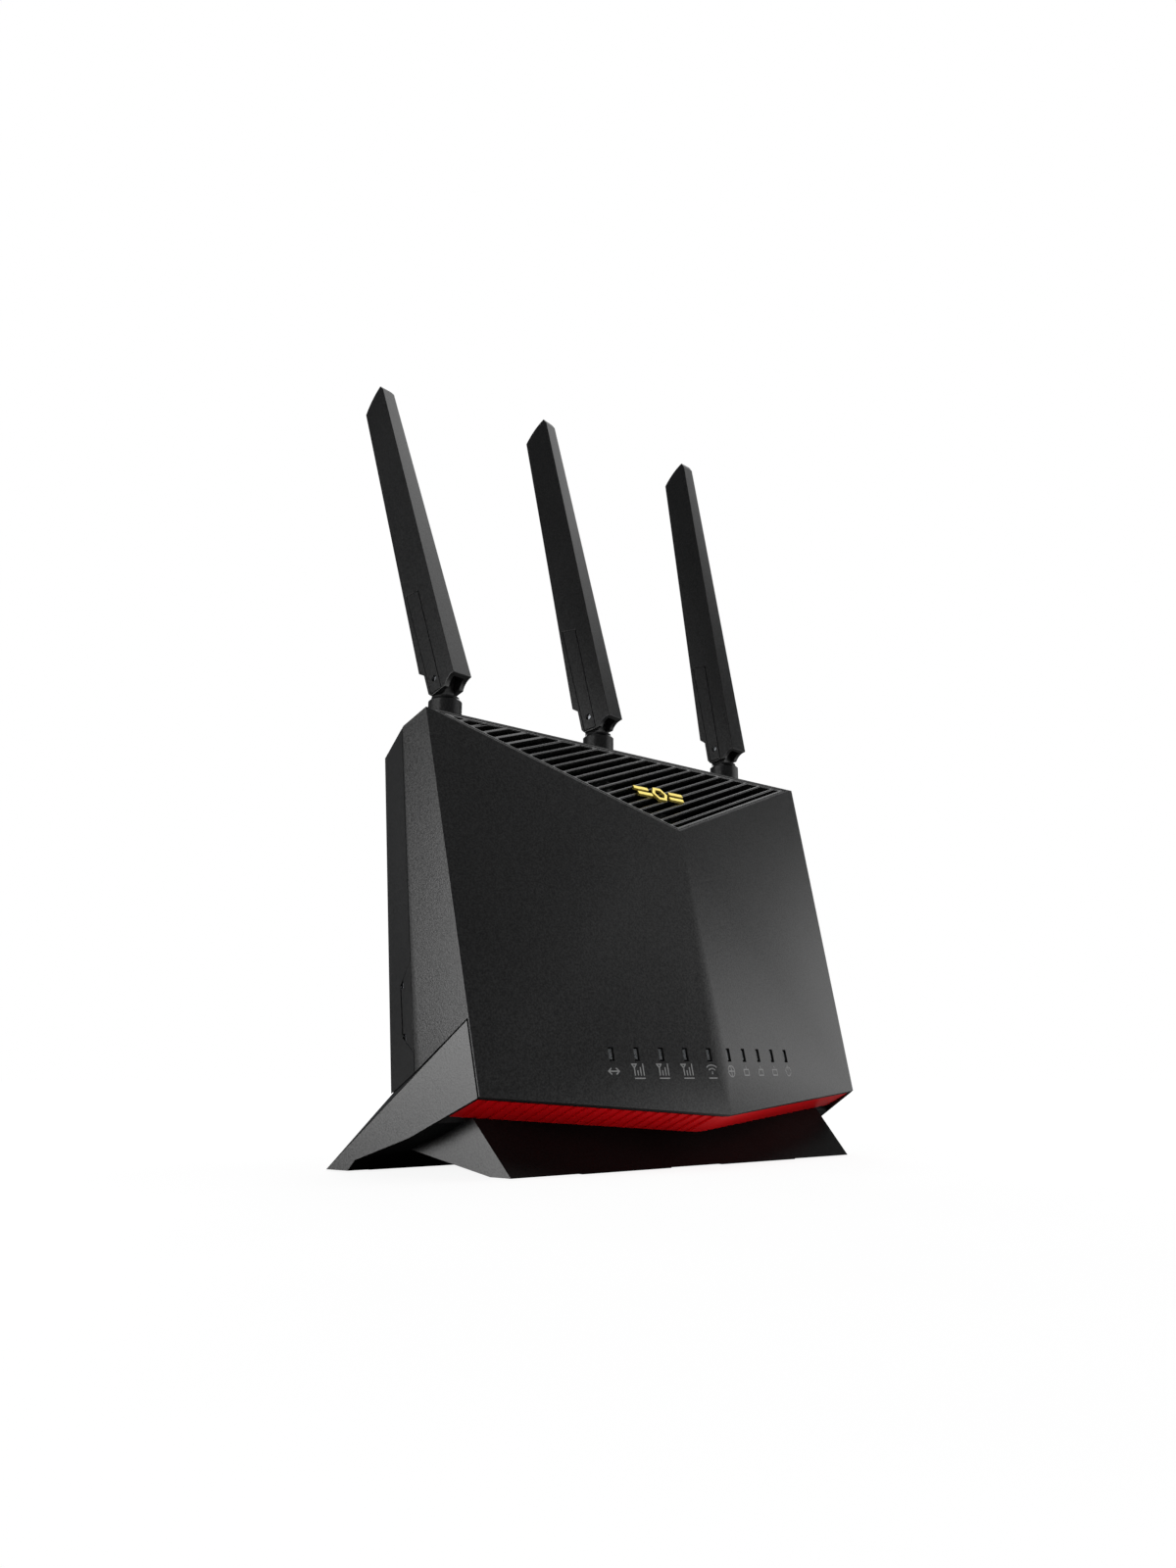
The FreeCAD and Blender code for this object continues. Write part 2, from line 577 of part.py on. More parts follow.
def rear_housing():
    shell = behind_seam(housing_volume(0), SEAM_GAP / 2)
    bay_wall = bay_box(-PORT_SINK - PANEL_THICK - WALL, 0, 1.6)
    cavity = housing_volume(WALL).cut(bay_wall)
    shell = shell.cut(cavity).cut(wing_notch())
    add = []
    for x, up in POST_SPOTS:
        add.append(rod(POST_RADIUS, back_point(x, -1.5, up), back_point(x, -BOARD_DEPTH, up)))
    for x, up in BOSS_SPOTS:
        sleeve = rod(BOSS_SLEEVE_RADIUS, boss_end(x, up, -1.5), boss_end(x, up, BOSS_END + 0.2))
        add.append(sleeve.common(housing_volume(0.5)))
    for x, y in STAND_SCREW_SPOTS:
        add.append(rod(STAND_POST_RADIUS, V(x, y, STAND_POST_Z[0]), V(x, y, STAND_POST_Z[1])))
    shell = joined([shell] + add)
    cuts = [bay_box(-PORT_SINK, 20), bay_box(-PORT_SINK - PANEL_THICK - WALL - 1, 1, -1.2)]
    cuts.append(bay_box(-PORT_SINK - PANEL_THICK, 1))
    for x, up in POST_SPOTS:
        cuts.append(rod(POST_PILOT_RADIUS, back_point(x, -6, up), back_point(x, -BOARD_DEPTH - 1, up)))
    for x, up in BOSS_SPOTS:
        cuts.append(rod(SCREW_RADIUS + 0.2, boss_end(x, up, 5), boss_end(x, up, BOSS_END - 3)))
        cuts.append(rod(SCREW_HEAD + HEAD_PLAY, boss_end(x, up, 5), boss_end(x, up, SCREW_SEAT)))
    for x, y in STAND_SCREW_SPOTS:
        cuts.append(rod(SCREW_RADIUS, V(x, y, 5), V(x, y, STAND_SCREW_Z[2] + 0.5)))
    for side in SIDES:
        spot = V(antenna_axis_x(side), ANTENNA_Y, 0)
        cuts.append(rod(BUSH_RADIUS - 1.5, spot + V(0, 0, BUSH_LOW), spot + V(0, 0, 190)))
    shell = shell.cut(group(cuts)).cut(vents())
    return shell.cut(door_opening()).cut(door_pin_hole())


def antenna_bushings():
    """The fixed sockets on the top slope that the antennas turn in."""
    shapes = []
    slope_out = TOP_FACE[1]
    for side in SIDES:
        spot = V(antenna_axis_x(side), ANTENNA_Y, 0)
        cap = rod(BUSH_RADIUS, spot + V(0, 0, 130), spot + V(0, 0, BUSH_TOP))
        cap = trim(cap, TOP_FACE[0], slope_out * -1)
        barrel = rod(BUSH_RADIUS - 1.6, spot + V(0, 0, BUSH_LOW), spot + V(0, 0, BUSH_TOP - 2))
        bore = rod(SHAFT_RADIUS + RUNNING_FIT, spot, spot + V(0, 0, 200))
        shapes.append(joined([cap, barrel]).cut(bore))
    return group(shapes)


# ---------------------------------------------------------------- SIM card door
def rear_side_x(y, z):
    point, normal = REAR_SIDE_FACE
    return point.x - (normal.y * (y - point.y) + normal.z * (z - point.z)) / normal.x


def seam_y(z):
    run = (SEAM_TOP.y - SEAM_LOW.y) / (SEAM_TOP.z - SEAM_LOW.z)
    return SEAM_LOW.y + run * (z - SEAM_LOW.z)


DOOR_OUT = mirrored(REAR_SIDE_FACE[1])


def side_point(y, z, depth=0.0):
    """A point on the left rear side, sunk by depth."""
    return V(-rear_side_x(y, z), y, z) - DOOR_OUT * depth


def door_axis():
    """Top and bottom of the hinge line, inside the wall at the door's back edge."""
    top_z = DOOR_BACK_TOP[1] - DOOR_KNUCKLE_INSET
    low_z = DOOR_BACK_LOW[1] + DOOR_KNUCKLE_INSET
    top = side_point(DOOR_BACK_TOP[0] - KNUCKLE_RADIUS, top_z, KNUCKLE_RADIUS)
    low = side_point(DOOR_BACK_LOW[0] - KNUCKLE_RADIUS, low_z, KNUCKLE_RADIUS)
    return top, low


def door_prism(grow, depth_low, depth_high):
    """The door's outline on the side wall, grown all round, between two depths."""
    seam = SEAM_GAP / 2
    corners = [(seam_y(DOOR_TOP_Z) + seam, DOOR_TOP_Z), DOOR_BACK_TOP, DOOR_BACK_LOW,
               (seam_y(DOOR_LOW_Z) + seam, DOOR_LOW_Z)]
    middle = (sum(c[0] for c in corners) / 4, sum(c[1] for c in corners) / 4)
    points = []
    for y, z in corners:
        dy = y - middle[0]
        dz = z - middle[1]
        points.append(side_point(y + math.copysign(grow, dy), z + math.copysign(grow, dz), depth_low))
    return prism(points, DOOR_OUT * (depth_low - depth_high))


def door_opening():
    opening = door_prism(DOOR_GAP, DOOR_REST, -3)
    top, low = door_axis()
    way = (low - top).normalize()
    knuckle = rod(KNUCKLE_RADIUS + 0.3, top - way * 0.3, low + way * 0.3)
    slit = door_prism(-2.2, WALL + 3, 1.8)
    return joined([opening, knuckle, slit])


def door_pin_hole():
    top, low = door_axis()
    way = (low - top).normalize()
    above, below = DOOR_PIN_REACH
    return rod(DOOR_PIN_RADIUS + 0.03, top - way * (above + 0.2), low + way * (below + 0.2))


def sim_door():
    plate = door_prism(0, DOOR_THICK, 0)
    top, low = door_axis()
    way = (low - top).normalize()
    forward = way.cross(DOOR_OUT)
    forward = forward if forward.y < 0 else forward * -1
    plate = trim(plate, top, forward * -1)
    reliefs = [rod(DOOR_RELIEF_RADIUS, top, top - way * DOOR_RELIEF_LENGTH),
               rod(DOOR_RELIEF_RADIUS, low, low + way * DOOR_RELIEF_LENGTH)]
    knuckle = rod(KNUCKLE_RADIUS, top, low)
    body = joined([plate.cut(group(reliefs)), knuckle])
    return body.cut(rod(DOOR_PIN_RADIUS + RUNNING_FIT, top - way * 5, low + way * 5))


def sim_door_pin():
    top, low = door_axis()
    way = (low - top).normalize()
    above, below = DOOR_PIN_REACH
    return rod(DOOR_PIN_RADIUS, top - way * above, low + way * below)


def sim_socket():
    """The card holder on the board's left edge, behind the door."""
    body = box(SIM_SOCKET_LOW, SIM_SOCKET_LOW + SIM_SOCKET_SIZE)
    slot = box(SIM_SOCKET_LOW + V(-1, 0.7, 2.0), SIM_SOCKET_LOW + V(15, 2.0, 17))
    return on_back(body.cut(slot))


# ---------------------------------------------------------------- sockets and port panel
def port_box(x, size, out, grow=0.0):
    """A box centred on a port, its outer end at out."""
    low = V(x - size.x / 2 - grow, out - size.y, PORT_HEIGHT - size.z / 2 - grow)
    return box(low, low + size + V(2 * grow, 0, 2 * grow))


PANEL_OUT = -PORT_SINK
JACK_OUT = PANEL_OUT - 0.4


def port_panel():
    left, right, low, high = PORT_BAY
    plate = box(V(left + 0.1, PANEL_OUT - PANEL_THICK, low + 0.1), V(right - 0.1, PANEL_OUT, high - 0.1))
    deep = V(0, 30, 0)
    holes = [port_box(x, JACK_SIZE + deep, 15, 0.15) for x in (WAN_X,) + LAN_X]
    holes.append(port_box(USB_X, USB_SIZE + deep, 15, 0.15))
    holes.append(port_box(INLET_X, INLET_SIZE + deep, 15, 0.15))
    for x, radius in ((RESET_X, RESET_RADIUS), (WPS_X, WPS_RADIUS), (POWER_X, POWER_RADIUS)):
        holes.append(rod(radius + BUTTON_PLAY, V(x, 5, PORT_HEIGHT), V(x, -9, PORT_HEIGHT)))
    return on_back(plate.cut(group(holes)))


def network_jack(x):
    """A square socket: plug mouth with a latch notch below it."""
    body = port_box(x, JACK_SIZE, JACK_OUT)
    mouth = port_box(x, JACK_MOUTH + V(0, 0.5, 0), JACK_OUT + 0.5)
    notch = port_box(x, V(6.4, 9.5, 3.0), JACK_OUT + 0.5)
    notch.translate(V(0, 0, -JACK_MOUTH.z / 2 - 1.2))
    key = port_box(x, V(3.4, 9.5, 2.0), JACK_OUT + 0.5)
    key.translate(V(0, 0, -JACK_MOUTH.z / 2 - 2.8))
    for shape in (mouth, notch, key):
        shape.translate(V(0, 0, 1.2))
    return on_back(body.cut(joined([mouth, notch, key])))


def jack_contacts():
    wires = []
    for x in (WAN_X,) + LAN_X:
        for k in range(8):
            wire_x = x + (k - 3.5) * 1.02
            low = V(wire_x - 0.2, JACK_OUT - 12.4, PORT_HEIGHT + 1.2 + JACK_MOUTH.z / 2 - 1.5)
            wires.append(on_back(box(low, low + V(0.4, 9.0, 0.4))))
    return group(wires)


def usb_port():
    body = port_box(USB_X, USB_SIZE, JACK_OUT)
    inside = port_box(USB_X, USB_SIZE - V(0.7, 0, 0.7), JACK_OUT + 1.0)
    return on_back(body.cut(inside))


def usb_tongue():
    tongue = port_box(USB_X, V(11.2, 9.0, 1.8), JACK_OUT - 3.5)
    tongue.translate(V(0, 0, 1.0))
    root = port_box(USB_X, USB_SIZE - V(0.7, 11.6, 0.7), JACK_OUT - 10.5)
    return on_back(joined([tongue, root]))


def dc_inlet():
    body = port_box(INLET_X, INLET_SIZE, JACK_OUT)
    mouth = V(INLET_X, JACK_OUT, PORT_HEIGHT)
    bore = rod(INLET_RADIUS, mouth + V(0, 1, 0), mouth - V(0, 11, 0))
    return on_back(body.cut(joined([bore, inlet_pin()])))


def inlet_pin():
    mouth = V(INLET_X, JACK_OUT, PORT_HEIGHT)
    return rod(INLET_PIN_RADIUS, mouth - V(0, 1, 0), mouth - V(0, 13, 0))


def dc_pin():
    return on_back(inlet_pin())


# ---------------------------------------------------------------- buttons and switches
def push_button(name):
    """A round cap through the port panel, a stop flange behind it and a plunger."""
    x, radius, travel, proud, face, _ = BUTTONS[name]
    front = PANEL_OUT + proud
    back = PANEL_OUT - PANEL_THICK - BUTTON_PLAY
    switch = face + travel + SWITCH_GAP
    cap = rod(radius, V(x, front, PORT_HEIGHT), V(x, back, PORT_HEIGHT))
    stop = back - FLANGE_THICK
    flange = rod(radius + FLANGE_GROW, V(x, back, PORT_HEIGHT), V(x, stop, PORT_HEIGHT))
    stem = rod(min(radius, STEM_RADIUS), V(x, stop, PORT_HEIGHT), V(x, switch, PORT_HEIGHT))
    return on_back(joined([cap, flange, stem]))


def push_switches():
    shapes = []
    for x, _, _, _, face, half in BUTTONS.values():
        lid = face - ACTUATOR_TALL
        body = box(V(x - half, -BOARD_DEPTH, PORT_HEIGHT - half), V(x + half, lid, PORT_HEIGHT + half))
        actuator = rod(ACTUATOR_RADIUS, V(x, lid, PORT_HEIGHT), V(x, face, PORT_HEIGHT))
        shapes.append(on_back(joined([body, actuator])))
    return group(shapes)


# ---------------------------------------------------------------- boards and cooling
BOARD_FRONT = -BOARD_DEPTH - BOARD_THICK


def main_board():
    board = box(V(-BOARD_HALF, BOARD_FRONT, BOARD_LOW), V(BOARD_HALF, -BOARD_DEPTH, BOARD_HIGH))
    holes = [rod(BOARD_HOLE_RADIUS, V(x, BOARD_FRONT - 1, up), V(x, 0, up)) for x, up in POST_SPOTS]
    holes += [rod(BOSS_HOLE_RADIUS, V(x, BOARD_FRONT - 3, up), V(x, 0, up)) for x, up in BOSS_SPOTS]
    return on_back(board.cut(group(holes)))


def board_screws():
    shapes = []
    for x, up in POST_SPOTS:
        head = rod(BOARD_SCREW_HEAD, V(x, BOARD_FRONT, up), V(x, BOARD_FRONT - BOARD_SCREW_TALL, up))
        slot = rod(0.9, V(x, BOARD_FRONT - 0.8, up), V(x, BOARD_FRONT - 2, up))
        shaft = rod(BOARD_SCREW_RADIUS, V(x, BOARD_FRONT, up), V(x, -BOARD_DEPTH + 6, up))
        shapes.append(on_back(joined([head, shaft]).cut(slot)))
    return group(shapes)


def processor_chips():
    shapes = []
    for x, up, size in CHIPS:
        low = V(x - size / 2, BOARD_FRONT - CHIP_THICK, up - size / 2)
        shapes.append(on_back(box(low, low + V(size, CHIP_THICK, size))))
    return group(shapes)


def thermal_pads():
    shapes = []
    for x, up, size in CHIPS:
        low = V(x - size / 2, BOARD_FRONT - CHIP_THICK - PAD_THICK, up - size / 2)
        shapes.append(on_back(box(low, low + V(size, PAD_THICK, size))))
    return group(shapes)


def shield_cans():
    shapes = []
    wall = V(SHIELD_WALL, SHIELD_WALL, SHIELD_WALL)
    for x, up in SHIELD_LOW:
        low = V(x, BOARD_FRONT - SHIELD_SIZE.y, up)
        can = box(low, low + SHIELD_SIZE)
        hollow = box(low + wall, low + SHIELD_SIZE + V(-SHIELD_WALL, 1, -SHIELD_WALL))
        shapes.append(on_back(can.cut(hollow)))
    return group(shapes)


def heat_sink():
    back = BOARD_FRONT - CHIP_THICK - PAD_THICK
    low = V(SINK_LOW.x, back - SINK_BASE, SINK_LOW.z)
    base = box(low, low + V(SINK_SIZE.x, SINK_BASE, SINK_SIZE.z))
    fins = [base]
    step = (SINK_SIZE.x - FIN_THICK) / (FIN_COUNT - 1)
    for k in range(FIN_COUNT):
        fin = V(SINK_LOW.x + k * step, back - SINK_SIZE.y, SINK_LOW.z)
        fins.append(box(fin, fin + V(FIN_THICK, SINK_SIZE.y - SINK_BASE, SINK_SIZE.z)))
    return on_back(joined(fins))


def radio_card():
    """The mobile-network card, standing off the board in its edge socket."""
    low = V(CARD_LOW.x, BOARD_FRONT - CARD_GAP - CARD_SIZE.y, CARD_LOW.z + 4)
    card = box(low, low + CARD_SIZE)
    lid = box(low + CARD_LID[0], low + CARD_LID[1])
    return on_back(joined([card, lid]))


def card_socket():
    low = V(CARD_LOW.x + 2, BOARD_FRONT - CARD_SOCKET.y, CARD_LOW.z)
    body = box(low, low + CARD_SOCKET)
    slot_top = BOARD_FRONT - CARD_GAP + 0.05
    slot_low = V(CARD_LOW.x - 1, slot_top - CARD_SIZE.y - 0.1, CARD_LOW.z + 3.9)
    slot = box(slot_low, V(80, slot_top, 60))
    return on_back(body.cut(slot))


def light_board():
    half = LIGHT_PITCH * LIGHT_COUNT / 2 + 4
    low, high = LIGHT_BOARD_SPAN_Z
    back = LIGHT_BOARD_Y + LIGHT_BOARD_THICK
    return box(V(-half, LIGHT_BOARD_Y, LIGHT_Z + low), V(half, back, LIGHT_Z + high))


def light_chips():
    front = LIGHT_BOARD_Y - LIGHT_CHIP_TALL
    return group([light_bar(x, LIGHT_CHIP, front, LIGHT_BOARD_Y) for x in light_x()])


def light_pipes():
    """Clear rods from the light chips to just under the front panels."""
    inside = housing_volume(PIPE_SINK)
    bars = []
    for x in light_x():
        bars.append(light_bar(x, LIGHT_PIPE, -30, LIGHT_BOARD_Y - 0.9).common(inside))
    return group(bars)


def light_pipe_holder():
    """The black bar that holds the clear rods in line."""
    half = LIGHT_PITCH * LIGHT_COUNT / 2 + 1
    front, back = (LIGHT_BOARD_Y + y for y in HOLDER_Y)
    low = LIGHT_Z - HOLDER_HALF_Z
    high = LIGHT_Z + HOLDER_HALF_Z
    bars = [box(V(-half, front, low), V(half, back, high))]
    for x in (-half, half):
        bars.append(box(V(x - 2, back, low), V(x + 2, LIGHT_BOARD_Y, high)))
    bar = joined(bars)
    return bar.cut(group([light_bar(x, LIGHT_PIPE, -40, LIGHT_BOARD_Y + 5) for x in light_x()]))


def light_ribbon():
    """The flat cable between the light board and the main board."""
    left, width = RIBBON_X
    start = V(left, LIGHT_BOARD_Y + LIGHT_BOARD_THICK, LIGHT_Z - 5)
    end = back_point(left, BOARD_FRONT, 9.0)
    lower = [(start.y, start.z), ((start.y + end.y) / 2, start.z - 1), (end.y, end.z)]
    upper = [(y, z + RIBBON_THICK) for y, z in lower[::-1]]
    return prism([V(left, y, z) for y, z in lower + upper], V(width, 0, 0))


def housing_screws():
    shapes = []
    for x, up in BOSS_SPOTS:
        top = SCREW_SEAT + SCREW_HEAD_TALL
        head = rod(SCREW_HEAD, boss_end(x, up, top), boss_end(x, up, SCREW_SEAT))
        recess = rod(RECESS_RADIUS, boss_end(x, up, top + 1), boss_end(x, up, top - RECESS_DEEP))
        shaft = rod(SCREW_RADIUS - SCREW_PLAY, boss_end(x, up, SCREW_SEAT), boss_end(x, up, BOSS_END - 10))
        shapes.append(joined([head, shaft]).cut(recess))
    return group(shapes)


# ---------------------------------------------------------------- antennas
def antenna_heading(side):
    """Where the antenna's back points, in plan."""
    turn = math.radians(ANTENNA_SWIVEL[side])
    return V(math.sin(turn), math.cos(turn), 0)


def pivot_point(side):
    spot = V(antenna_axis_x(side), ANTENNA_Y, PIVOT_Z)
    return spot + antenna_heading(side) * PIVOT_BACK


def as_collar(shape, side):
    """From the antenna's own frame, with the collar's axis at the origin."""
    spot = V(antenna_axis_x(side), ANTENNA_Y, 0)
    shape.Placement = FreeCAD.Placement(spot, FreeCAD.Rotation(Z_AXIS, -ANTENNA_SWIVEL[side]))
    return shape


def as_blade(shape, side):
    """From the blade's own frame, with the pivot at the origin and the blade upright."""
    turn = FreeCAD.Rotation(Z_AXIS, -ANTENNA_SWIVEL[side])
    lean = FreeCAD.Rotation(X_AXIS, -ANTENNA_TILT[side])
    shape.Placement = FreeCAD.Placement(pivot_point(side), turn.multiply(lean))
    return shape


def antenna_collar(side):
    ring = rod(COLLAR_RADIUS, V(0, 0, COLLAR_LOW), V(0, 0, COLLAR_TOP))
    ring = ring.makeChamfer(COLLAR_CHAMFER, [e for e in ring.Edges if e.BoundBox.ZMin > COLLAR_TOP - 0.01])
    neck = rod(NECK_RADIUS, V(0, 0, COLLAR_TOP - 1), V(0, 0, NECK_TOP))
    shaft = rod(SHAFT_RADIUS, V(0, 0, SHAFT_LOW), V(0, 0, COLLAR_LOW))
    half = TONGUE_THICK / 2
    front = PIVOT_BACK - TONGUE_RADIUS
    back = PIVOT_BACK + TONGUE_RADIUS
    tongue = box(V(-half, front, NECK_TOP - 1), V(half, back, PIVOT_Z))
    eye = rod(TONGUE_RADIUS, V(-half, PIVOT_BACK, PIVOT_Z), V(half, PIVOT_BACK, PIVOT_Z))
    tongue = tongue.common(rod(NECK_RADIUS + 0.4, V(0, 0, 100), V(0, 0, 200)))
    whole = joined([ring, neck, shaft, tongue, eye])
    whole = whole.cut(rod(PIN_RADIUS + RUNNING_FIT, V(-9, PIVOT_BACK, PIVOT_Z), V(9, PIVOT_BACK, PIVOT_Z)))
    whole = whole.cut(rod(CABLE_BORE, V(0, 0, SHAFT_LOW - 1), V(0, 0, COLLAR_TOP - 3.8)))
    groove = rod(SHAFT_RADIUS + 1, V(0, 0, GROOVE_LOW), V(0, 0, GROOVE_LOW + GROOVE_TALL))
    groove = groove.cut(rod(SHAFT_RADIUS - GROOVE_DEEP, V(0, 0, 0), V(0, 0, 200)))
    return as_collar(whole.cut(groove), side)


def antenna_clip(side):
    """The snap ring that keeps the shaft in its bushing."""
    ring = rod(SHAFT_RADIUS + CLIP_GROW, V(0, 0, GROOVE_LOW), V(0, 0, GROOVE_LOW + GROOVE_TALL))
    ring = ring.cut(rod(SHAFT_RADIUS - GROOVE_DEEP, V(0, 0, 100), V(0, 0, 200)))
    ring = ring.cut(box(V(-2.5, 0, 100), V(2.5, 20, 200)))
    return as_collar(ring, side)


BLADE_RUN = (BLADE_FOOT_HALF - BLADE_TIP_HALF) / BLADE_LENGTH


def blade_outline():
    """The blade seen from its side, as (y, z) round the pivot: a wire with an arched foot and tip."""
    def at(y, z):
        return V(0, y, z)

    def line(a, b):
        return Part.LineSegment(a, b).toShape()

    foot_front = at(-10.8, -4.1)
    tip_front = at(-10.6, 157.0)
    tip = at(-9.4, BLADE_LENGTH)
    tip_back = at(3.5, 153.5)
    shoulder = at(7.5, 7.3)
    step = at(5.0, 4.9)
    ear_back = at(4.9, -4.4)
    ear_low = at(3.6, -6.2)
    ear_front = at(-4.7, -6.8)
    return Part.Wire([
        line(foot_front, tip_front), line(tip_front, tip),
        Part.Arc(tip, at(-2.7, 157.6), tip_back).toShape(),
        line(tip_back, shoulder), line(shoulder, step), line(step, ear_back),
        line(ear_back, ear_low), line(ear_low, ear_front),
        Part.Arc(ear_front, at(-7.2, -4.7), foot_front).toShape(),
    ])


def tapered(solid, inset):
    """Trims a blade solid between its two faces, which close in towards the tip."""
    for side in (-1, 1):
        solid = trim(solid, V(side * (BLADE_FOOT_HALF - inset), 0, 0), V(side, 0, BLADE_RUN))
    return solid


def antenna_blade(side):
    face = Part.Face(blade_outline())
    face.translate(V(-8, 0, 0))
    blade = tapered(face.extrude(V(16, 0, 0)), 0)
    core = prism([V(-8, -8.8, 14), V(-8, -8.8, 150), V(-8, 1.8, 146), V(-8, 5.2, 14)], V(16, 0, 0))
    blade = blade.cut(tapered(core, BLADE_SKIN))
    half = CLEVIS_GAP / 2
    slot = prism([V(-half, -8.6, -9), V(-half, -8.6, -1), V(-half, -4.5, 6.3), V(-half, 12, 6.3),
                  V(-half, 12, -9)], V(2 * half, 0, 0))
    blade = blade.cut(slot).cut(rod(PIN_RADIUS, V(-9, 0, 0), V(9, 0, 0)))
    return as_blade(blade.cut(cover_blank(0.0)), side)


def cover_blank(play):
    """The inlay's volume on the blade's left face, from its foot to a slanted top."""
    foot_front, foot_back = COVER_FOOT_Z
    outline = [V(-9, COVER_FRONT + play, foot_front + play), V(-9, COVER_FRONT + play, COVER_TOP - play),
               V(-9, COVER_BACK - play, COVER_TOP + COVER_RISE - play),
               V(-9, COVER_BACK_LOW - play, foot_back + play)]
    blank = prism(outline, V(9, 0, 0))
    return trim(blank, V(COVER_THICK - BLADE_FOOT_HALF, 0, 0), V(1, 0, -BLADE_RUN))


def antenna_cover(side):
    cover = cover_blank(COVER_GAP)
    cover = trim(cover, V(-BLADE_FOOT_HALF, 0, 0), V(-1, 0, BLADE_RUN))
    return as_blade(cover.cut(rod(PIN_RADIUS + 0.1, V(-9, 0, 0), V(9, 0, 0))), side)


def antenna_pin(side):
    left = PIN_SINK[0] - BLADE_FOOT_HALF
    right = BLADE_FOOT_HALF - PIN_SINK[1]
    return as_blade(rod(PIN_RADIUS, V(left, 0, 0), V(right, 0, 0)), side)


def antenna_radiator(side):
    """The thin aerial strip glued inside the blade."""
    low, high, thick = RADIATOR
    strip = tapered(box(low, high), BLADE_SKIN)
    strip = trim(strip, V(BLADE_FOOT_HALF - BLADE_SKIN - thick, 0, 0), V(-1, 0, -BLADE_RUN))
    return as_blade(strip, side)


def antenna_leads():
    """Thin coaxial leads from each antenna's shaft down to the back of the main board."""
    shapes = []
    for side in SIDES:
        x = antenna_axis_x(side)
        top = V(x, ANTENNA_Y, SHAFT_LOW - 1.0)
        bend = V(x, ANTENNA_Y, SHAFT_LOW - 5.5)
        over = back_point(x * 0.8, -BOARD_DEPTH + 0.8, BOARD_HIGH - 4)
        foot = back_point(x * 0.8, -BOARD_DEPTH + 0.8, BOARD_HIGH - 17)
        shapes.append(tube(rounded_path([top, bend, over, foot], LEAD_BEND), LEAD_RADIUS))
    return group(shapes)


def rounded_path(points, radius):
    """Straight runs joined by arcs of one radius."""
    edges = []
    last = points[0]
    for before, corner, after in zip(points, points[1:], points[2:]):
        into = (corner - before).normalize()
        away = (after - corner).normalize()
        turn = into.getAngle(away)
        back_off = radius * math.tan(turn / 2)
        first = corner - into * back_off
        second = corner + away * back_off
        bulge = (away - into).normalize() * (radius / math.cos(turn / 2) - radius)
        edges.append(Part.LineSegment(last, first).toShape())
        edges.append(Part.Arc(first, corner + bulge, second).toShape())
        last = second
    edges.append(Part.LineSegment(last, points[-1]).toShape())
    return Part.Wire(edges)


def tube(path, radius):
    start = path.OrderedVertexes[0].Point
    way = path.OrderedEdges[0].tangentAt(path.OrderedEdges[0].FirstParameter)
    ring = Part.Face(Part.Wire(Part.makeCircle(radius, start, way)))
    return path.makePipe(ring)


def build():
    """Every node, still in the frame with y = 0 at the front foot."""
    parts = {
        "front_housing": front_housing(), "rear_housing": rear_housing(), "top_grille": top_grille(),
        "emblem": emblem(), "chin_panel": chin_panel(), "stand": stand(),
        "stand_screws": stand_screws(), "rubber_feet": rubber_feet(), "port_panel": port_panel(),
        "antenna_bushings": antenna_bushings(), "antenna_leads": antenna_leads(),
        "wan_jack": network_jack(WAN_X), "lan_jacks": group([network_jack(x) for x in LAN_X]),
        "jack_contacts": jack_contacts(), "usb_port": usb_port(), "usb_tongue": usb_tongue(),
        "dc_inlet": dc_inlet(), "dc_pin": dc_pin(), "push_switches": push_switches(),
        "main_board": main_board(), "board_screws": board_screws(),
        "processor_chips": processor_chips(), "thermal_pads": thermal_pads(),
        "shield_cans": shield_cans(), "heat_sink": heat_sink(),
        "radio_card": radio_card(), "card_socket": card_socket(),
        "light_board": light_board(), "light_chips": light_chips(), "light_pipes": light_pipes(),
        "light_pipe_holder": light_pipe_holder(), "light_ribbon": light_ribbon(),
        "housing_screws": housing_screws(), "sim_door": sim_door(), "sim_door_pin": sim_door_pin(),
        "sim_socket": sim_socket(),
    }
    for name in BUTTONS:
        parts[name] = push_button(name)
    for side in SIDES:
        parts["antenna_collar_" + side] = antenna_collar(side)
        parts["antenna_clip_" + side] = antenna_clip(side)
        parts["antenna_blade_" + side] = antenna_blade(side)
        parts["antenna_cover_" + side] = antenna_cover(side)
        parts["antenna_pin_" + side] = antenna_pin(side)
        parts["antenna_radiator_" + side] = antenna_radiator(side)
    return parts


def centre_shift(parts):
    """Moves the middle of the bounding box to y = 0; x = 0 and z = 0 are already there."""
    low = min(shape.optimalBoundingBox(False).YMin for shape in parts.values())
    high = max(shape.optimalBoundingBox(False).YMax for shape in parts.values())
    return V(0, -(low + high) / 2, 0)


PARTS = build()
SHIFT = centre_shift(PARTS)
os.makedirs("parts", exist_ok=True)
for part_name, part_shape in PARTS.items():
    part_shape.translate(SHIFT)
    part_shape.exportStep("parts/" + part_name + ".step")
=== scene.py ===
import math

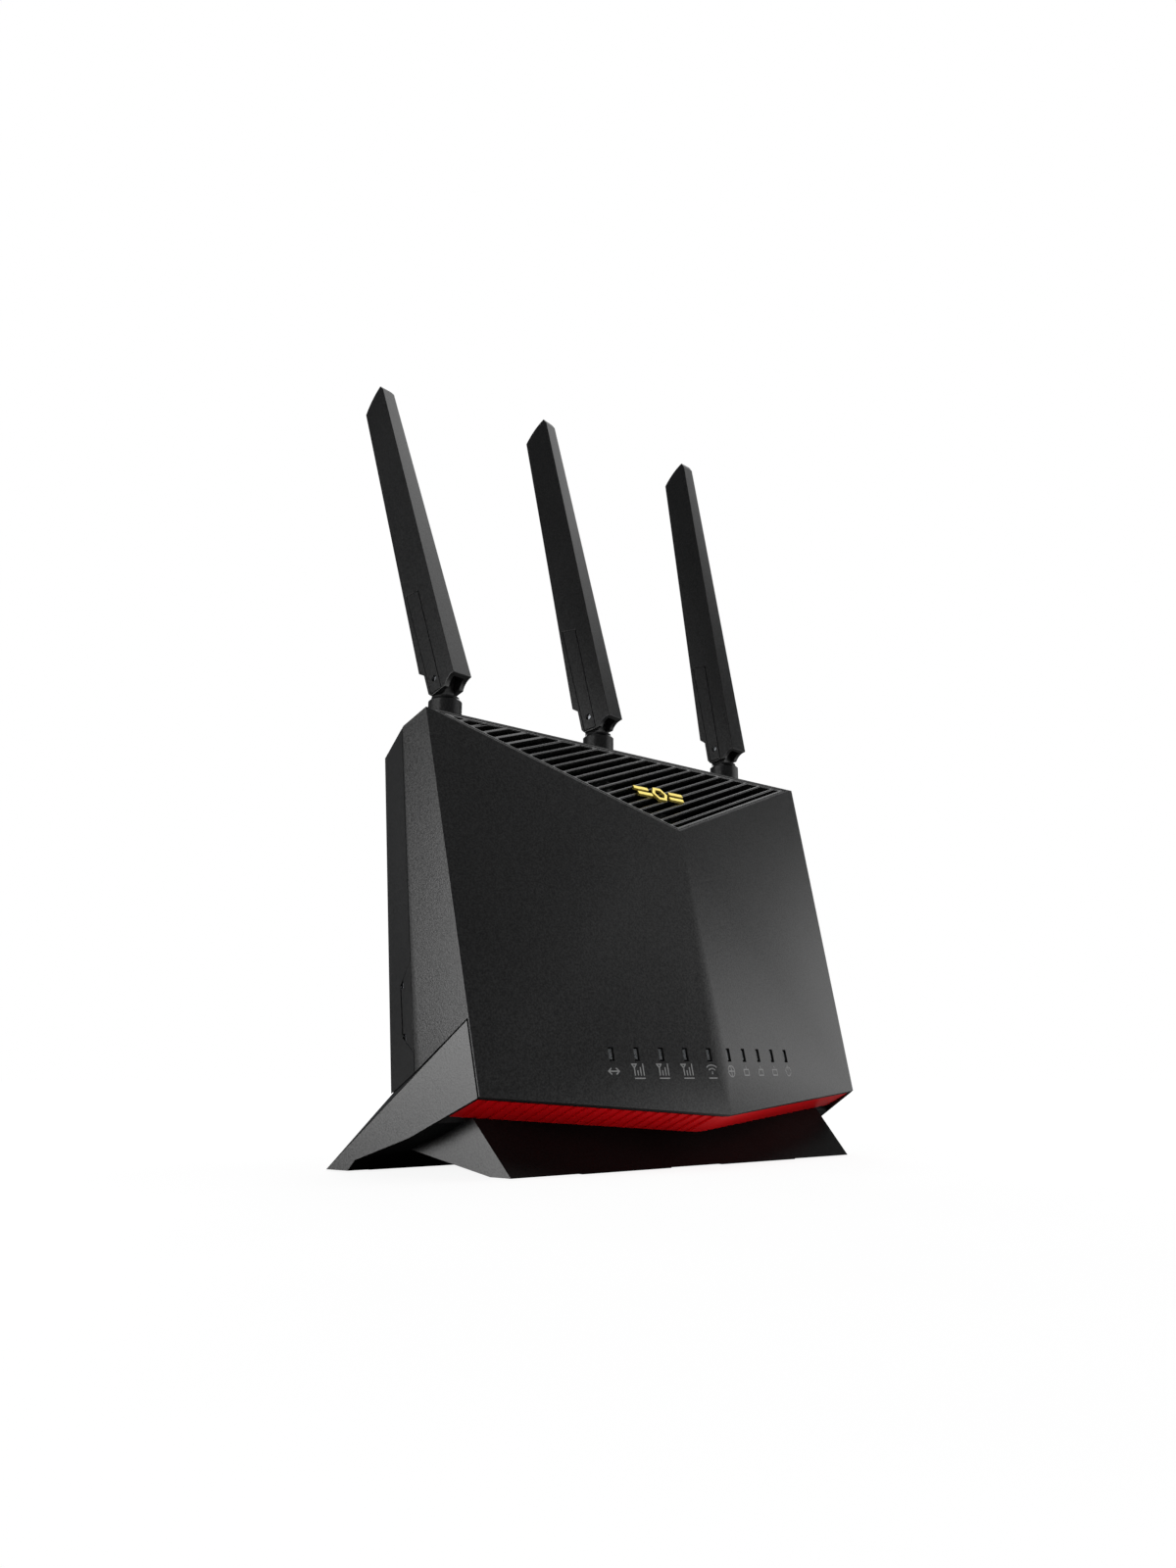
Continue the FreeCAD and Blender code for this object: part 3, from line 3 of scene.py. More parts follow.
import bmesh
import bpy
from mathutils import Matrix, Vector


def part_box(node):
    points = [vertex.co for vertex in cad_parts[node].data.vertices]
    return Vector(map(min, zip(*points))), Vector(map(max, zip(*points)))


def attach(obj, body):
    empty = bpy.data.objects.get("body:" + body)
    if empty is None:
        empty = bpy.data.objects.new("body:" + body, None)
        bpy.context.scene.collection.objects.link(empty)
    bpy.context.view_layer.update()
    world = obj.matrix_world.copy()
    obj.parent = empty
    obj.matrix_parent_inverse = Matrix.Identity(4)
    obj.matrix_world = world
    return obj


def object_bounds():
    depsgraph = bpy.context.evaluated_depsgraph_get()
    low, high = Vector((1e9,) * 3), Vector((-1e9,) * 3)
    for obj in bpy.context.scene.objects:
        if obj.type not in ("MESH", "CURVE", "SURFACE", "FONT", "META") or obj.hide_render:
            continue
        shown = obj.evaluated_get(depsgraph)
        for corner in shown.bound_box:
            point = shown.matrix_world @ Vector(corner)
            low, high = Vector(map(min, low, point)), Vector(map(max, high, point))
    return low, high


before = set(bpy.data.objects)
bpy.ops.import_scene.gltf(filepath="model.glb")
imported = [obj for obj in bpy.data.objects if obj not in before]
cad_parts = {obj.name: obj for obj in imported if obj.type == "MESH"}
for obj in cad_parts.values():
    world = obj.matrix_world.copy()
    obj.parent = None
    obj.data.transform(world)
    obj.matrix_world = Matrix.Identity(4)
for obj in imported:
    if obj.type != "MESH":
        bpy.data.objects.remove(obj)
cad_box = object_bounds()


# ================================================================ set, camera and lights
# A pale table top that runs out of view, lit like a studio sweep: one wide lamp overhead,
# a soft box and a narrow strip at the left, a wide box at the right and a small one behind.
# Faces that look to the front stay dark, flanks catch light.
def linear(code):
    """An sRGB hex colour as linear RGBA."""
    shares = [int(code[i:i + 2], 16) / 255 for i in (1, 3, 5)]
    return [s / 12.92 if s <= 0.04045 else ((s + 0.055) / 1.055) ** 2.4 for s in shares] + [1.0]


def add_node(tree, kind, sockets=None, **settings):
    """One shader node with its settings; each socket gets a value or another node's output."""
    made = tree.nodes.new(kind)
    for name, value in settings.items():
        setattr(made, name, value)
    for name, value in (sockets or {}).items():
        if isinstance(value, bpy.types.NodeSocket):
            tree.links.new(value, made.inputs[name])
        else:
            made.inputs[name].default_value = value
    return made


def new_material(name):
    """An empty node material, and its tree."""
    made = bpy.data.materials.new(name)
    made.use_nodes = True
    made.node_tree.nodes.clear()
    return made, made.node_tree


def close_material(tree, shader):
    add_node(tree, "ShaderNodeOutputMaterial", {"Surface": shader.outputs[0]})


def per_metre(millimetres):
    """Noise scale that makes marks of that size."""
    return 1000.0 / millimetres


def part_place(tree):
    """The place on the part itself, so that a finish moves with its part."""
    return add_node(tree, "ShaderNodeTexCoord").outputs["Object"]


def clouds(tree, place, size, detail, roughness=0.5):
    """Noise with marks about size millimetres across; most of it lies between 0.3 and 0.7."""
    made = add_node(tree, "ShaderNodeTexNoise", {
        "Vector": place, "Scale": per_metre(size), "Detail": detail, "Roughness": roughness})
    return made.outputs["Fac"]


MOST_CLOUDS = (0.3, 0.7)


def spread(tree, value, source, target, **settings):
    """Stretches the range source of a value to the range target."""
    made = add_node(tree, "ShaderNodeMapRange", {
        "Value": value, "From Min": source[0], "From Max": source[1],
        "To Min": target[0], "To Max": target[1]}, **settings)
    return made.outputs[0]


def blend(tree, share, first, second):
    """A colour between two hex colours, the second one where share is 1."""
    made = add_node(tree, "ShaderNodeMix", {0: share, 6: linear(first), 7: linear(second)}, data_type="RGBA")
    return made.outputs[2]


def relief(tree, height, depth):
    """Bumps that are depth millimetres high."""
    made = add_node(tree, "ShaderNodeBump", {"Height": height, "Strength": 1.0, "Distance": depth / 1000.0})
    return made.outputs["Normal"]


TABLE_RADIUS = 4.0
TABLE_SIDES = 96
MATT_GREY = ("#747474", "#7C7C7C")      # what the lamps find; its own glow makes it look white
GLOW_NEAR = 0.90         # beside the object, where the lamps make up the rest and shadows show
GLOW_GROWS = (0.25, 1.0) # how far from the middle it begins to grow, and where it is full
BOUNCE = 0.95            # light that the table throws back up, in front of the object
BOUNCE_STARTS = -0.035   # and where it begins, so that the space under the stand stays dark
BOUNCE_FADE = 0.05


def matt_laminate():
    """White laminate, pressed: faintly mottled, and lit from within to read as a sweep."""
    made, tree = new_material("white_laminate_pressed")
    place = part_place(tree)
    mottle = clouds(tree, place, 60.0, 3.0)
    away = add_node(tree, "ShaderNodeVectorMath", {0: place}, operation="LENGTH")
    glow = spread(tree, away.outputs["Value"], GLOW_GROWS, (GLOW_NEAR, 1.0), interpolation_type="SMOOTHSTEP")
    spot = add_node(tree, "ShaderNodeSeparateXYZ", {0: place})
    bounce = spread(tree, spot.outputs["Y"], (BOUNCE_STARTS - BOUNCE_FADE, BOUNCE_STARTS), (BOUNCE, 0.0),
                    interpolation_type="SMOOTHSTEP")
    ray = add_node(tree, "ShaderNodeLightPath")
    strength = add_node(tree, "ShaderNodeMix", {0: ray.outputs["Is Camera Ray"], 2: bounce, 3: glow})
    shader = add_node(tree, "ShaderNodeBsdfPrincipled", {
        "Base Color": blend(tree, mottle, *MATT_GREY), "Roughness": 0.9, "Specular IOR Level": 0.0,
        "Emission Color": linear("#FFFFFF"), "Emission Strength": strength.outputs[0]})
    close_material(tree, shader)
    return made


def table_top():
    mesh = bmesh.new()
    bmesh.ops.create_circle(mesh, cap_ends=True, segments=TABLE_SIDES, radius=TABLE_RADIUS)
    data = bpy.data.meshes.new("table_top")
    mesh.to_mesh(data)
    mesh.free()
    table = bpy.data.objects.new("table_top", data)
    bpy.context.scene.collection.objects.link(table)
    data.materials.append(matt_laminate())


table_top()

AIM = (cad_box[0] + cad_box[1]) / 2


def soft_box(name, azimuth, elevation, distance, size, power):
    """A rectangular lamp that looks at the object; azimuth 0 is in front, 90 on its right."""
    turn = math.radians(azimuth)
    rise = math.radians(elevation)
    out = Vector((math.sin(turn) * math.cos(rise), -math.cos(turn) * math.cos(rise), math.sin(rise)))
    lamp = bpy.data.lights.new(name, "AREA")
    lamp.shape = "RECTANGLE"
    lamp.size, lamp.size_y = size
    lamp.energy = power
    held = bpy.data.objects.new(name, lamp)
    held.location = AIM + out * distance
    held.rotation_euler = (-out).to_track_quat("-Z", "Y").to_euler()
    bpy.context.scene.collection.objects.link(held)


soft_box("left_soft_box", -102, -3.5, 0.9, (0.45, 0.24), 5.7)
soft_box("left_strip", -80, 18, 1.0, (0.1, 0.3), 0.38)
soft_box("right_soft_box", 61, 3, 1.1, (1.3, 0.5), 3.45)
soft_box("overhead_lamp", 100, 66, 1.6, (1.6, 1.6), 12.0)
soft_box("rear_soft_box", 142, 26, 1.3, (0.8, 0.7), 3.5)


def sweep_room():
    """The camera sees a white room; the object is lit by a dim, slightly cool one."""
    world = bpy.data.worlds.new("sweep")
    bpy.context.scene.world = world
    world.use_nodes = True
    tree = world.node_tree
    tree.nodes.clear()
    ray = add_node(tree, "ShaderNodeLightPath")
    room = add_node(tree, "ShaderNodeBackground", {"Color": linear("#D8DCE0"), "Strength": 0.1})
    sweep = add_node(tree, "ShaderNodeBackground", {"Color": linear("#FFFFFF"), "Strength": 1.0})
    seen = add_node(tree, "ShaderNodeMixShader", {
        0: ray.outputs["Is Camera Ray"], 1: room.outputs[0], 2: sweep.outputs[0]})
    add_node(tree, "ShaderNodeOutputWorld", {"Surface": seen.outputs[0]})


sweep_room()

CAMERA_PLACE = (-0.28474, -0.34322, 0.03235)
CAMERA_YAW = 38.59       # from the back towards the right, in degrees
CAMERA_PITCH = 14.70     # upwards
CAMERA_LENS = 25.15


def place_camera():
    camera = bpy.data.objects.new("camera", bpy.data.cameras.new("camera"))
    camera.location = CAMERA_PLACE
    camera.rotation_euler = (math.radians(90 + CAMERA_PITCH), 0, math.radians(-CAMERA_YAW))
    camera.data.lens = CAMERA_LENS
    camera.data.clip_start = 0.01
    bpy.context.scene.collection.objects.link(camera)
    bpy.context.scene.camera = camera
    bpy.context.scene.view_settings.view_transform = "Standard"


place_camera()


# ================================================================ housing
# Two injection-moulded ABS shells, front and rear, that meet at a dark seam on the flanks.
# Their tool was spark eroded, which leaves an even, fine, slightly glinting grain.
GRAIN = 0.68             # real grain is about 0.1 mm; drawn this coarse so that it shows
FLOW_MARKS = 45.0
PEBBLE_SHARE = 0.75      # how much the pebbles count in the tone, beside the flow marks
TONE_FROM = (0.62, 1.12)
GLINT_FROM = (0.36, 0.64)


def moulded_abs(name, dark, pale, roughness, depth=0.06, grain=GRAIN, specular=0.5):
    """ABS moulded in a spark-eroded tool: matt, with a fine pebble grain and faint flow marks."""
    made, tree = new_material(name)
    place = part_place(tree)
    pebble = clouds(tree, place, grain, 2.0, 0.6)
    flow = clouds(tree, place, FLOW_MARKS, 3.0)
    mixed = add_node(tree, "ShaderNodeMath", {0: pebble, 1: PEBBLE_SHARE, 2: flow}, operation="MULTIPLY_ADD")
    tone = blend(tree, spread(tree, mixed.outputs[0], TONE_FROM, (0.0, 1.0)), dark, pale)
    gloss = spread(tree, pebble, MOST_CLOUDS, (roughness - 0.05, roughness + 0.05))
    glint = spread(tree, pebble, GLINT_FROM, (specular * 0.78, specular * 1.22))
    shader = add_node(tree, "ShaderNodeBsdfPrincipled", {
        "Base Color": tone, "Roughness": gloss, "IOR": 1.53, "Specular IOR Level": glint,
        "Normal": relief(tree, pebble, depth)})
    close_material(tree, shader)
    return made


WELD_REACH = 2e-6
FLAT_ANGLE = 0.6         # faces that turn less than this are one flat face
NORMAL_WEIGHT = 80


def finish_part(name, material, edge=0.0, angle=28.0, flatten=False, clamp=True):
    """Gives a CAD part its material, and rounds its edges by edge millimetres as moulding does."""
    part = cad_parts[name]
    part.data.materials.clear()
    part.data.materials.append(material)
    if "custom_normal" in part.data.attributes:
        part.data.attributes.remove(part.data.attributes["custom_normal"])
    for face in part.data.polygons:
        face.use_smooth = True
    weld = part.modifiers.new("weld", "WELD")
    weld.merge_threshold = WELD_REACH
    if flatten:
        flat = part.modifiers.new("flat", "DECIMATE")
        flat.decimate_type = "DISSOLVE"
        flat.angle_limit = math.radians(FLAT_ANGLE)
    if edge:
        bevel = part.modifiers.new("edge", "BEVEL")
        bevel.width = edge / 1000.0
        bevel.segments = 2
        bevel.limit_method = "ANGLE"
        bevel.angle_limit = math.radians(angle)
        bevel.miter_outer = "MITER_ARC"
        bevel.use_clamp_overlap = clamp
    even = part.modifiers.new("even", "WEIGHTED_NORMAL")
    even.keep_sharp = True
    even.weight = NORMAL_WEIGHT


HOUSING_ABS = moulded_abs("abs_spark_eroded_housing", "#101010", "#191919", 0.42)
finish_part("front_housing", HOUSING_ABS, edge=0.3, flatten=True)
finish_part("rear_housing", HOUSING_ABS, edge=0.25)


# ================================================================ top grille and emblem
# The sloping insert of thin parallel ribs that lets warm air out, moulded in polished black
# ABS and snapped onto a shelf; its rounded ribs each carry a thin line of light.
def polished_abs(name, dark, pale, roughness):
    """ABS moulded in a polished tool: dark and smooth, with faint drawing lines."""
    made, tree = new_material(name)
    haze = clouds(tree, part_place(tree), 2.5, 4.0, 0.6)
    shader = add_node(tree, "ShaderNodeBsdfPrincipled", {
        "Base Color": blend(tree, haze, dark, pale), "IOR": 1.53,
        "Roughness": spread(tree, haze, MOST_CLOUDS, (roughness - 0.04, roughness + 0.06)),
        "Normal": relief(tree, haze, 0.01)})
    close_material(tree, shader)
    return made


GRILLE_ABS = polished_abs("abs_polished_grille", "#0D0D0D", "#161616", 0.26)
finish_part("top_grille", GRILLE_ABS, edge=0.44)


def plated_metal(name, pale, deep, roughness, streak):
    """Plated or machined metal with fine one-way brush lines, streak millimetres apart."""
    made, tree = new_material(name)
    stretch = add_node(tree, "ShaderNodeMapping", {"Vector": part_place(tree), "Scale": (0.04, 1.0, 1.0)})
    lines = clouds(tree, stretch.outputs[0], streak, 3.0, 0.7)
    shader = add_node(tree, "ShaderNodeBsdfPrincipled", {
        "Base Color": blend(tree, lines, deep, pale), "Metallic": 1.0,
        "Roughness": spread(tree, lines, MOST_CLOUDS, (roughness - 0.06, roughness + 0.08)),
        "Normal": relief(tree, lines, 0.006)})
    close_material(tree, shader)
    return made


# The emblem is a die-cut, gold-anodised aluminium badge glued onto the ribs.
GOLD_BADGE = plated_metal("aluminium_gold_anodised_brushed", "#F9E98C", "#EFD25C", 0.38, 0.5)
finish_part("emblem", GOLD_BADGE, edge=0.08, flatten=True)


# ================================================================ chin panel
# The red strip under the front panels, moulded in self-coloured ABS with stepped louvres,
# clipped in from below. Its tool was vapour blasted, so it is satin rather than matt.
CHIN_ABS = moulded_abs("abs_red_vapour_blasted", "#C00008", "#D4020C", 0.36, depth=0.006, grain=0.6)
finish_part("chin_panel", CHIN_ABS, edge=0.1, angle=12.0, flatten=True)


# ================================================================ stand and feet
# The stand is one ABS moulding with two wings that wrap the housing's lower corners,
# screwed up into the housing. Four soft pads keep it from sliding.
# Painted shade: the stand's faces that look to the front, back, up or down keep only a share of their sheen,
# which darkens them like the shade under the housing.
DULL_BELOW = 0.3         # how far sideways a face has to turn to keep its sheen, as a share
DULL_BAND = 0.1
SHEEN_LEFT = 0.15


def shade_unturned_faces(material):
    """Painted shade: takes most of the sheen off the faces that do not turn sideways, so that they read dark
    as shaded faces do.
    """
    tree = material.node_tree
    shader = next(node for node in tree.nodes if node.type == "BSDF_PRINCIPLED")
    level = shader.inputs["Specular IOR Level"]
    surface = add_node(tree, "ShaderNodeNewGeometry")
    parts = add_node(tree, "ShaderNodeSeparateXYZ", {"Vector": surface.outputs["True Normal"]})
    turned = add_node(tree, "ShaderNodeMath", {0: parts.outputs["X"]}, operation="ABSOLUTE")
    keep = spread(tree, turned.outputs[0], (DULL_BELOW - DULL_BAND, DULL_BELOW + DULL_BAND),
                  (SHEEN_LEFT, 1.0))
    product = add_node(tree, "ShaderNodeMath", {0: level.links[0].from_socket, 1: keep},
                       operation="MULTIPLY")
    tree.links.new(product.outputs[0], level)


STAND_ABS = moulded_abs("abs_spark_eroded_stand", "#0E0E0E", "#161616", 0.42, depth=0.04, specular=0.4)
# Painted shade on the stand's faces that do not turn sideways.
shade_unturned_faces(STAND_ABS)
finish_part("stand", STAND_ABS, edge=0.3, flatten=True)


def moulded_rubber(name, dark, pale):
    """Silicone rubber, compression moulded: dull, with a powdery speckle."""
    made, tree = new_material(name)
    powder = clouds(tree, part_place(tree), 0.5, 3.0, 0.7)
    shader = add_node(tree, "ShaderNodeBsdfPrincipled", {
        "Base Color": blend(tree, powder, dark, pale), "Roughness": 0.85, "IOR": 1.43,
        "Normal": relief(tree, powder, 0.02)})
    close_material(tree, shader)
    return made


FOOT_RUBBER = moulded_rubber("silicone_rubber_moulded", "#202123", "#303134")
finish_part("rubber_feet", FOOT_RUBBER, edge=0.4)

ZINC_STEEL = plated_metal("steel_zinc_plated_turned", "#C9CCD0", "#9EA2A8", 0.3, 0.3)
finish_part("stand_screws", ZINC_STEEL, edge=0.2)
finish_part("housing_screws", ZINC_STEEL, edge=0.2)


# ================================================================ status lights
# Ten clear polycarbonate rods carry the light of small lamps on a board to the front; a
# black bar holds them. Below each slot a small sign is pad printed in grey ink.
def clear_polycarbonate():
    """Polycarbonate, moulded: frosted at its end face, so that it glows evenly when lit."""
    made, tree = new_material("polycarbonate_frosted")
    frost = clouds(tree, part_place(tree), 0.4, 2.0)
    shader = add_node(tree, "ShaderNodeBsdfPrincipled", {
        "Base Color": blend(tree, frost, "#5E6163", "#8C9092"), "IOR": 1.585,
        "Roughness": spread(tree, frost, MOST_CLOUDS, (0.2, 0.4)), "Transmission Weight": 0.35})
    close_material(tree, shader)
    return made


finish_part("light_pipes", clear_polycarbonate(), edge=0.15)
HOLDER_ABS = moulded_abs("abs_black_holder", "#0C0C0C", "#141414", 0.55)
finish_part("light_pipe_holder", HOLDER_ABS, edge=0.2)


def printed_ink(name, dark, pale):
    """Pad-printed ink: thin, dull and slightly patchy where the grain shows through."""
    made, tree = new_material(name)
    patch = clouds(tree, part_place(tree), 0.6, 3.0, 0.7)
    shader = add_node(tree, "ShaderNodeBsdfPrincipled", {
        "Base Color": blend(tree, patch, dark, pale), "Roughness": 0.7})
    close_material(tree, shader)
    return made


INK_THICK = 0.00004
STROKE = 0.42            # width of a printed line, in millimetres
PANEL_INK = printed_ink("ink_grey_pad_printed", "#6E6E6E", "#A6A6A6")


def surface_point(part, start, way):
    """Where a straight line from start meets a CAD part, and the face's direction there."""
    found, spot, facing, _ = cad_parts[part].ray_cast(Vector(start), Vector(way))
    if not found:
        raise RuntimeError("no surface of " + part + " on that line")
    return spot, facing


def arc_points(centre, radius, first, last, count=9):
    """Points along part of a circle, in degrees from the right."""
    steps = [math.radians(first + (last - first) * k / (count - 1)) for k in range(count)]
    return [(centre[0] + radius * math.cos(t), centre[1] + radius * math.sin(t)) for t in steps]


def print_signs(name, part, signs, way, right, material):
    """Prints signs as thin strokes of ink; each is (origin, up, strokes) with strokes in mm."""
    mesh = bmesh.new()
    for origin, up, strokes in signs:
        for stroke in strokes:
            for a, b in zip(stroke, stroke[1:]):
                along = Vector((b[0] - a[0], b[1] - a[1])).normalized() * STROKE / 2
                across = Vector((-along.y, along.x))
                corners = [Vector(a) - along - across, Vector(b) + along - across,
                           Vector(b) + along + across, Vector(a) - along + across]
                low = []
                high = []
                for corner in corners:
                    start = origin + (right * corner.x + up * corner.y) / 1000.0
                    spot, facing = surface_point(part, start - way, way)
                    low.append(mesh.verts.new(spot - facing * INK_THICK))
                    high.append(mesh.verts.new(spot + facing * INK_THICK))
                mesh.faces.new(high)
                mesh.faces.new(low[::-1])
                for k in range(4):
                    mesh.faces.new([low[k], low[(k + 1) % 4], high[(k + 1) % 4], high[k]])
    bmesh.ops.recalc_face_normals(mesh, faces=mesh.faces)
    data = bpy.data.meshes.new(name)
    mesh.to_mesh(data)
    mesh.free()
    data.materials.append(material)
    piece = bpy.data.objects.new(name, data)
    bpy.context.scene.collection.objects.link(piece)
    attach(piece, "housing")


# Signs in millimetres round their own centre: generic marks for link, signal strength,
# radio, network, socket and power.
LINK_SIGN = [[(-2.0, 0.0), (2.0, 0.0)], [(-1.0, 0.9), (-2.0, 0.0), (-1.0, -0.9)],
             [(1.0, 0.9), (2.0, 0.0), (1.0, -0.9)]]
SIGNAL_SIGN = [[(-2.6, 2.3), (-0.9, 2.3), (-1.75, 1.1), (-2.6, 2.3)], [(-1.75, 1.1), (-1.75, -1.2)],
               [(-0.6, -1.2), (-0.6, 0.1)], [(0.5, -1.2), (0.5, 1.1)], [(1.6, -1.2), (1.6, 2.3)],
               [(-1.9, -2.3), (1.7, -2.3)]]
RADIO_SIGN = [arc_points((0, -0.8), 2.9, 50, 130), arc_points((0, -0.8), 1.7, 50, 130),
              [(0.0, -0.8), (0.0, -0.3)], [(-1.5, -2.3), (1.5, -2.3)]]
NETWORK_SIGN = [arc_points((0, 0), 1.9, 0, 360, 17), [(-1.9, 0.0), (1.9, 0.0)], [(0.0, -1.9), (0.0, 1.9)]]
SOCKET_SIGN = [[(-1.5, -1.4), (1.5, -1.4), (1.5, 0.6), (-1.5, 0.6), (-1.5, -1.4)], [(0.0, 0.6), (0.0, 1.7)]]
POWER_SIGN = [arc_points((0, 0), 1.7, 120, 420, 15), [(0.0, 0.5), (0.0, 2.1)]]
PANEL_SIGNS = [LINK_SIGN, SIGNAL_SIGN, SIGNAL_SIGN, SIGNAL_SIGN, RADIO_SIGN,
               NETWORK_SIGN, SOCKET_SIGN, SOCKET_SIGN, SOCKET_SIGN, POWER_SIGN]

pipe_low, pipe_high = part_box("light_pipes")
PIPE_WIDTH = 0.0013
LIGHT_SPAN = pipe_high.x - pipe_low.x - PIPE_WIDTH
LIGHT_MIDDLE = (pipe_low.z + pipe_high.z) / 2
SIGN_DROP = 0.0056       # from the middle of a slot to the middle of its sign


def light_signs():
    rows = []
    for k, strokes in enumerate(PANEL_SIGNS):
        x = -LIGHT_SPAN / 2 + LIGHT_SPAN * k / (len(PANEL_SIGNS) - 1)
        rows.append((Vector((x, 0, LIGHT_MIDDLE - SIGN_DROP)), Vector((0, 0, 1)), strokes))
    print_signs("light_signs", "front_housing", rows, Vector((0, 1, 0)), Vector((1, 0, 0)), PANEL_INK)


light_signs()


# ================================================================ light board and its cable
# A narrow glass-epoxy board with one lamp per slot, joined to the main board by a flat
# cable. Solder mask is screened on: green-black, with faint copper runs under it.
def masked_board(name, dark, pale):
    """Glass-epoxy laminate with solder mask: semi-gloss, copper runs showing as paler lines."""
    made, tree = new_material(name)
    place = part_place(tree)
    upright = add_node(tree, "ShaderNodeMapping", {"Vector": place, "Rotation": (math.radians(90), 0, 0)})
    runs = add_node(tree, "ShaderNodeTexBrick", {
        "Vector": upright.outputs[0], "Scale": per_metre(6.0), "Mortar Size": 0.05,
        "Mortar Smooth": 0.1, "Brick Width": 1.6, "Row Height": 0.45,
        "Color1": linear(dark), "Color2": linear(dark), "Mortar": linear(pale)})
    gloss = spread(tree, clouds(tree, place, 3.0, 2.0), MOST_CLOUDS, (0.28, 0.42))
    shader = add_node(tree, "ShaderNodeBsdfPrincipled", {
        "Base Color": runs.outputs["Color"], "Roughness": gloss, "IOR": 1.55})
    close_material(tree, shader)
    return made


BOARD_LAMINATE = masked_board("glass_epoxy_green_mask", "#0E3B24", "#2C6A45")
finish_part("light_board", BOARD_LAMINATE)
finish_part("main_board", BOARD_LAMINATE)
LENS_RESIN = moulded_abs("epoxy_lens_cast", "#D8D4BC", "#EAE6D0", 0.25, depth=0.002, grain=0.5)
finish_part("light_chips", LENS_RESIN, edge=0.1)
RIBBON_PVC = moulded_abs("pvc_ribbon_extruded", "#B9BBBD", "#D3D5D7", 0.45, depth=0.01, grain=1.2)
finish_part("light_ribbon", RIBBON_PVC)


# ================================================================ main board and cooling
# The processor sits under a black-anodised extruded heat sink with a grey gap pad between;
# tinned steel cans cover the radio chips, and the mobile card plugs into its own socket.
CHIP_EPOXY = moulded_abs("epoxy_chip_transfer_moulded", "#17181A", "#232427", 0.5, depth=0.004, grain=0.5)
finish_part("processor_chips", CHIP_EPOXY, edge=0.1)
GAP_PAD = moulded_rubber("silicone_gap_pad_filled", "#7C8792", "#98A2AC")
finish_part("thermal_pads", GAP_PAD, edge=0.15)
TINNED_STEEL = plated_metal("steel_tinned_stamped", "#C4C8CC", "#A3A8AE", 0.36, 0.4)
finish_part("shield_cans", TINNED_STEEL, edge=0.1)
BLACK_ANODISED = plated_metal("aluminium_black_anodised_extruded", "#3A3C40", "#25272A", 0.42, 0.5)
finish_part("heat_sink", BLACK_ANODISED, edge=0.15)
finish_part("radio_card", BOARD_LAMINATE, edge=0.1)
SOCKET_NYLON = moulded_abs("nylon_socket_moulded", "#141518", "#1E2024", 0.45, depth=0.004)
finish_part("card_socket", SOCKET_NYLON, edge=0.1)
finish_part("sim_socket", SOCKET_NYLON, edge=0.1)
finish_part("board_screws", ZINC_STEEL, edge=0.15)
finish_part("push_switches", SOCKET_NYLON, edge=0.15)
LEAD_PVC = moulded_abs("pvc_coax_jacket_extruded", "#1A1A1C", "#28282B", 0.4, depth=0.004, grain=0.5)
finish_part("antenna_leads", LEAD_PVC)


# ================================================================ back panel: sockets
# A recessed ABS panel frames the sockets, which are soldered to the main board and reach
# through it: power inlet, USB, one blue network socket for the wall and four black ones.
PORT_ABS = moulded_abs("abs_port_panel_eroded", "#121212", "#1B1B1B", 0.56)
finish_part("port_panel", PORT_ABS, edge=0.15)
JACK_PBT = moulded_abs("pbt_black_jack_moulded", "#0E0F10", "#17181A", 0.34, depth=0.003, grain=0.5)
finish_part("lan_jacks", JACK_PBT, edge=0.15)
finish_part("dc_inlet", JACK_PBT, edge=0.15)
WAN_PBT = moulded_abs("pbt_blue_jack_moulded", "#0B4FA8", "#1560BE", 0.34, depth=0.003, grain=0.5)
finish_part("wan_jack", WAN_PBT, edge=0.15)
CONTACT_GOLD = plated_metal("bronze_gold_flashed", "#F0D070", "#CFA542", 0.25, 0.2)
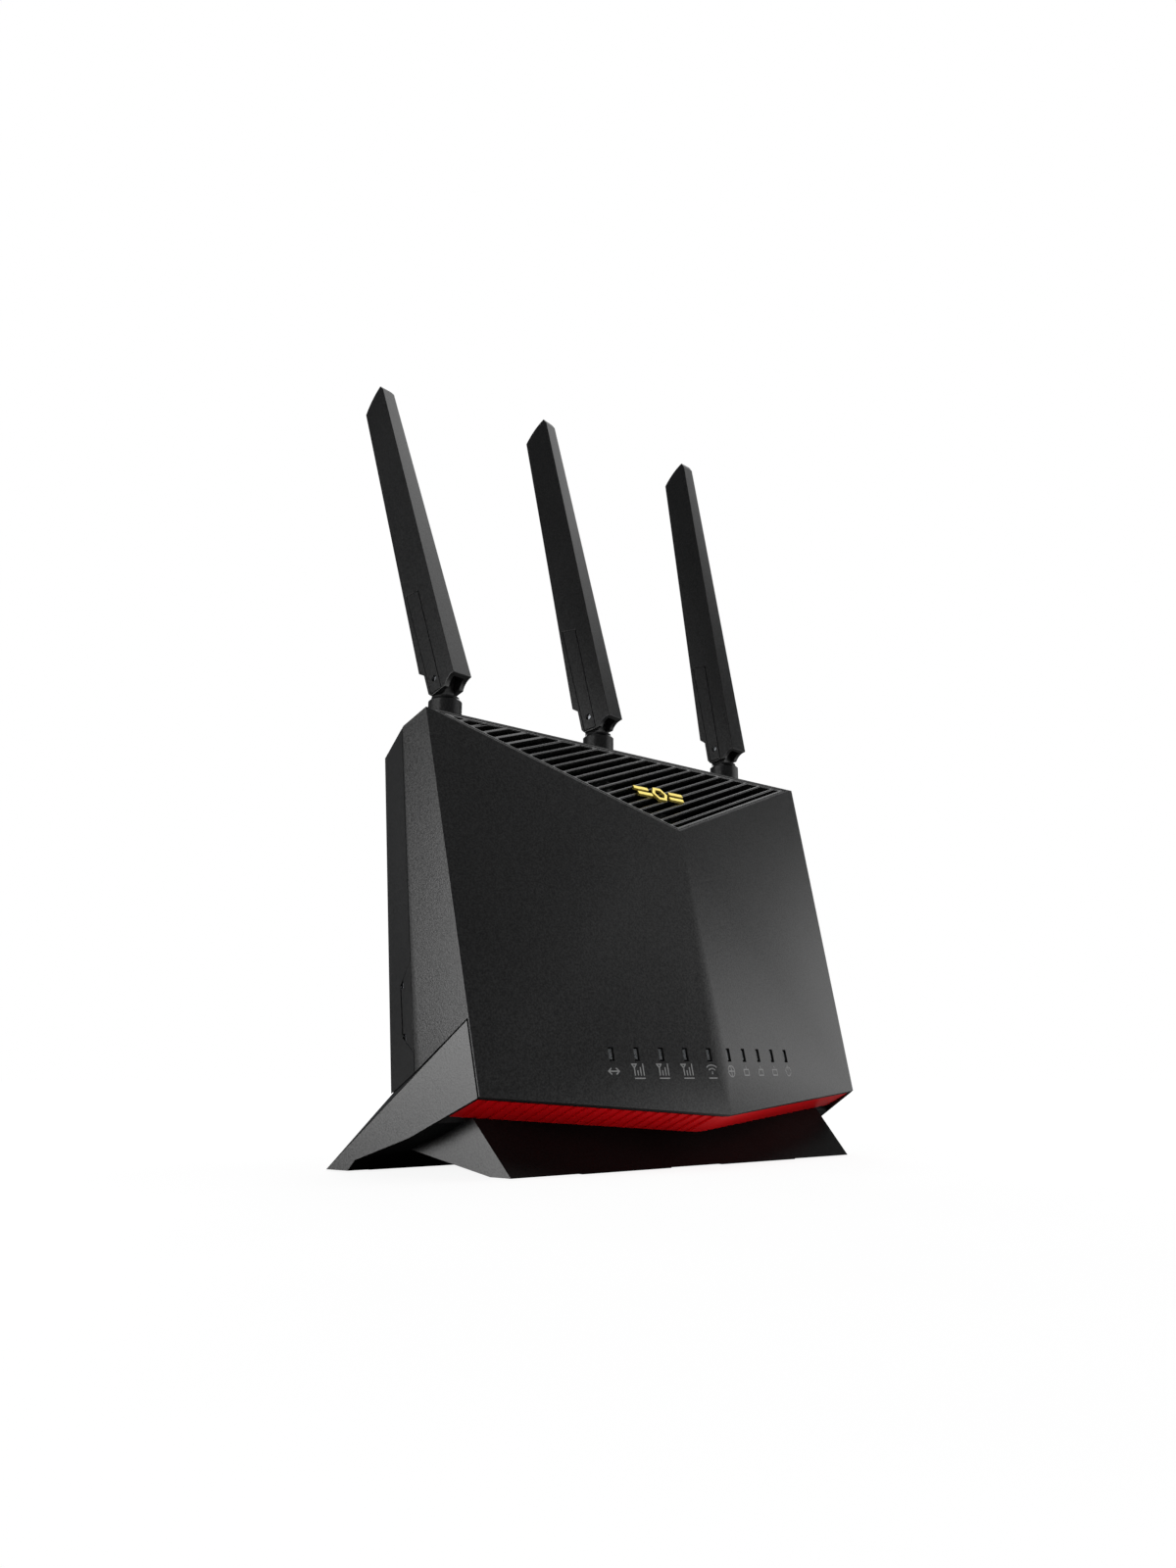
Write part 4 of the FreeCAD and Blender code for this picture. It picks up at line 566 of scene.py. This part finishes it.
finish_part("jack_contacts", CONTACT_GOLD)
NICKEL_STEEL = plated_metal("steel_nickel_plated_stamped", "#D6D4CE", "#B4B2AC", 0.26, 0.4)
finish_part("usb_port", NICKEL_STEEL, edge=0.08)
finish_part("dc_pin", NICKEL_STEEL, edge=0.25)
TONGUE_LCP = moulded_abs("lcp_white_tongue_moulded", "#DADADA", "#EDEDED", 0.4, depth=0.003, grain=0.5)
finish_part("usb_tongue", TONGUE_LCP, edge=0.12)


# ================================================================ buttons
# Three caps pass through the port panel and push small switches on the board: a domed
# power button, a pairing button and a sunk reset pin, all moulded in polished ABS.
BUTTON_ABS = moulded_abs("abs_button_polished", "#191A1B", "#242526", 0.4, depth=0.003, grain=0.5)
for button in ("power_button", "wps_button", "reset_button"):
    finish_part(button, BUTTON_ABS, edge=0.3)


# ================================================================ SIM card door
# A thin flap on the left flank, hinged on a steel pin along its back edge, that covers the
# slot of the card holder; the same grained ABS as the housing.
finish_part("sim_door", HOUSING_ABS, edge=0.15, flatten=True)
finish_part("sim_door_pin", ZINC_STEEL)


# ================================================================ antennas
# Three flat blades on collars that swivel in fixed sockets; each blade folds about a pin
# through the collar's tongue, and an inlaid cover is set flush into the foot of one face.
ANTENNA_ABS = moulded_abs("abs_antenna_eroded", "#0E0E0E", "#161616", 0.37, depth=0.03)
COLLAR_ABS = moulded_abs("abs_collar_satin", "#0C0C0C", "#141414", 0.34, depth=0.004, grain=0.5)
finish_part("antenna_bushings", COLLAR_ABS, edge=0.3)
for side in ("left", "middle", "right"):
    finish_part("antenna_collar_" + side, COLLAR_ABS, edge=0.25)
    finish_part("antenna_blade_" + side, ANTENNA_ABS, edge=0.22, flatten=True, clamp=False)
    finish_part("antenna_cover_" + side, ANTENNA_ABS, edge=0.3, flatten=True)
    finish_part("antenna_pin_" + side, ZINC_STEEL, edge=0.2)
    finish_part("antenna_clip_" + side, NICKEL_STEEL, edge=0.1)
    finish_part("antenna_radiator_" + side, BOARD_LAMINATE)
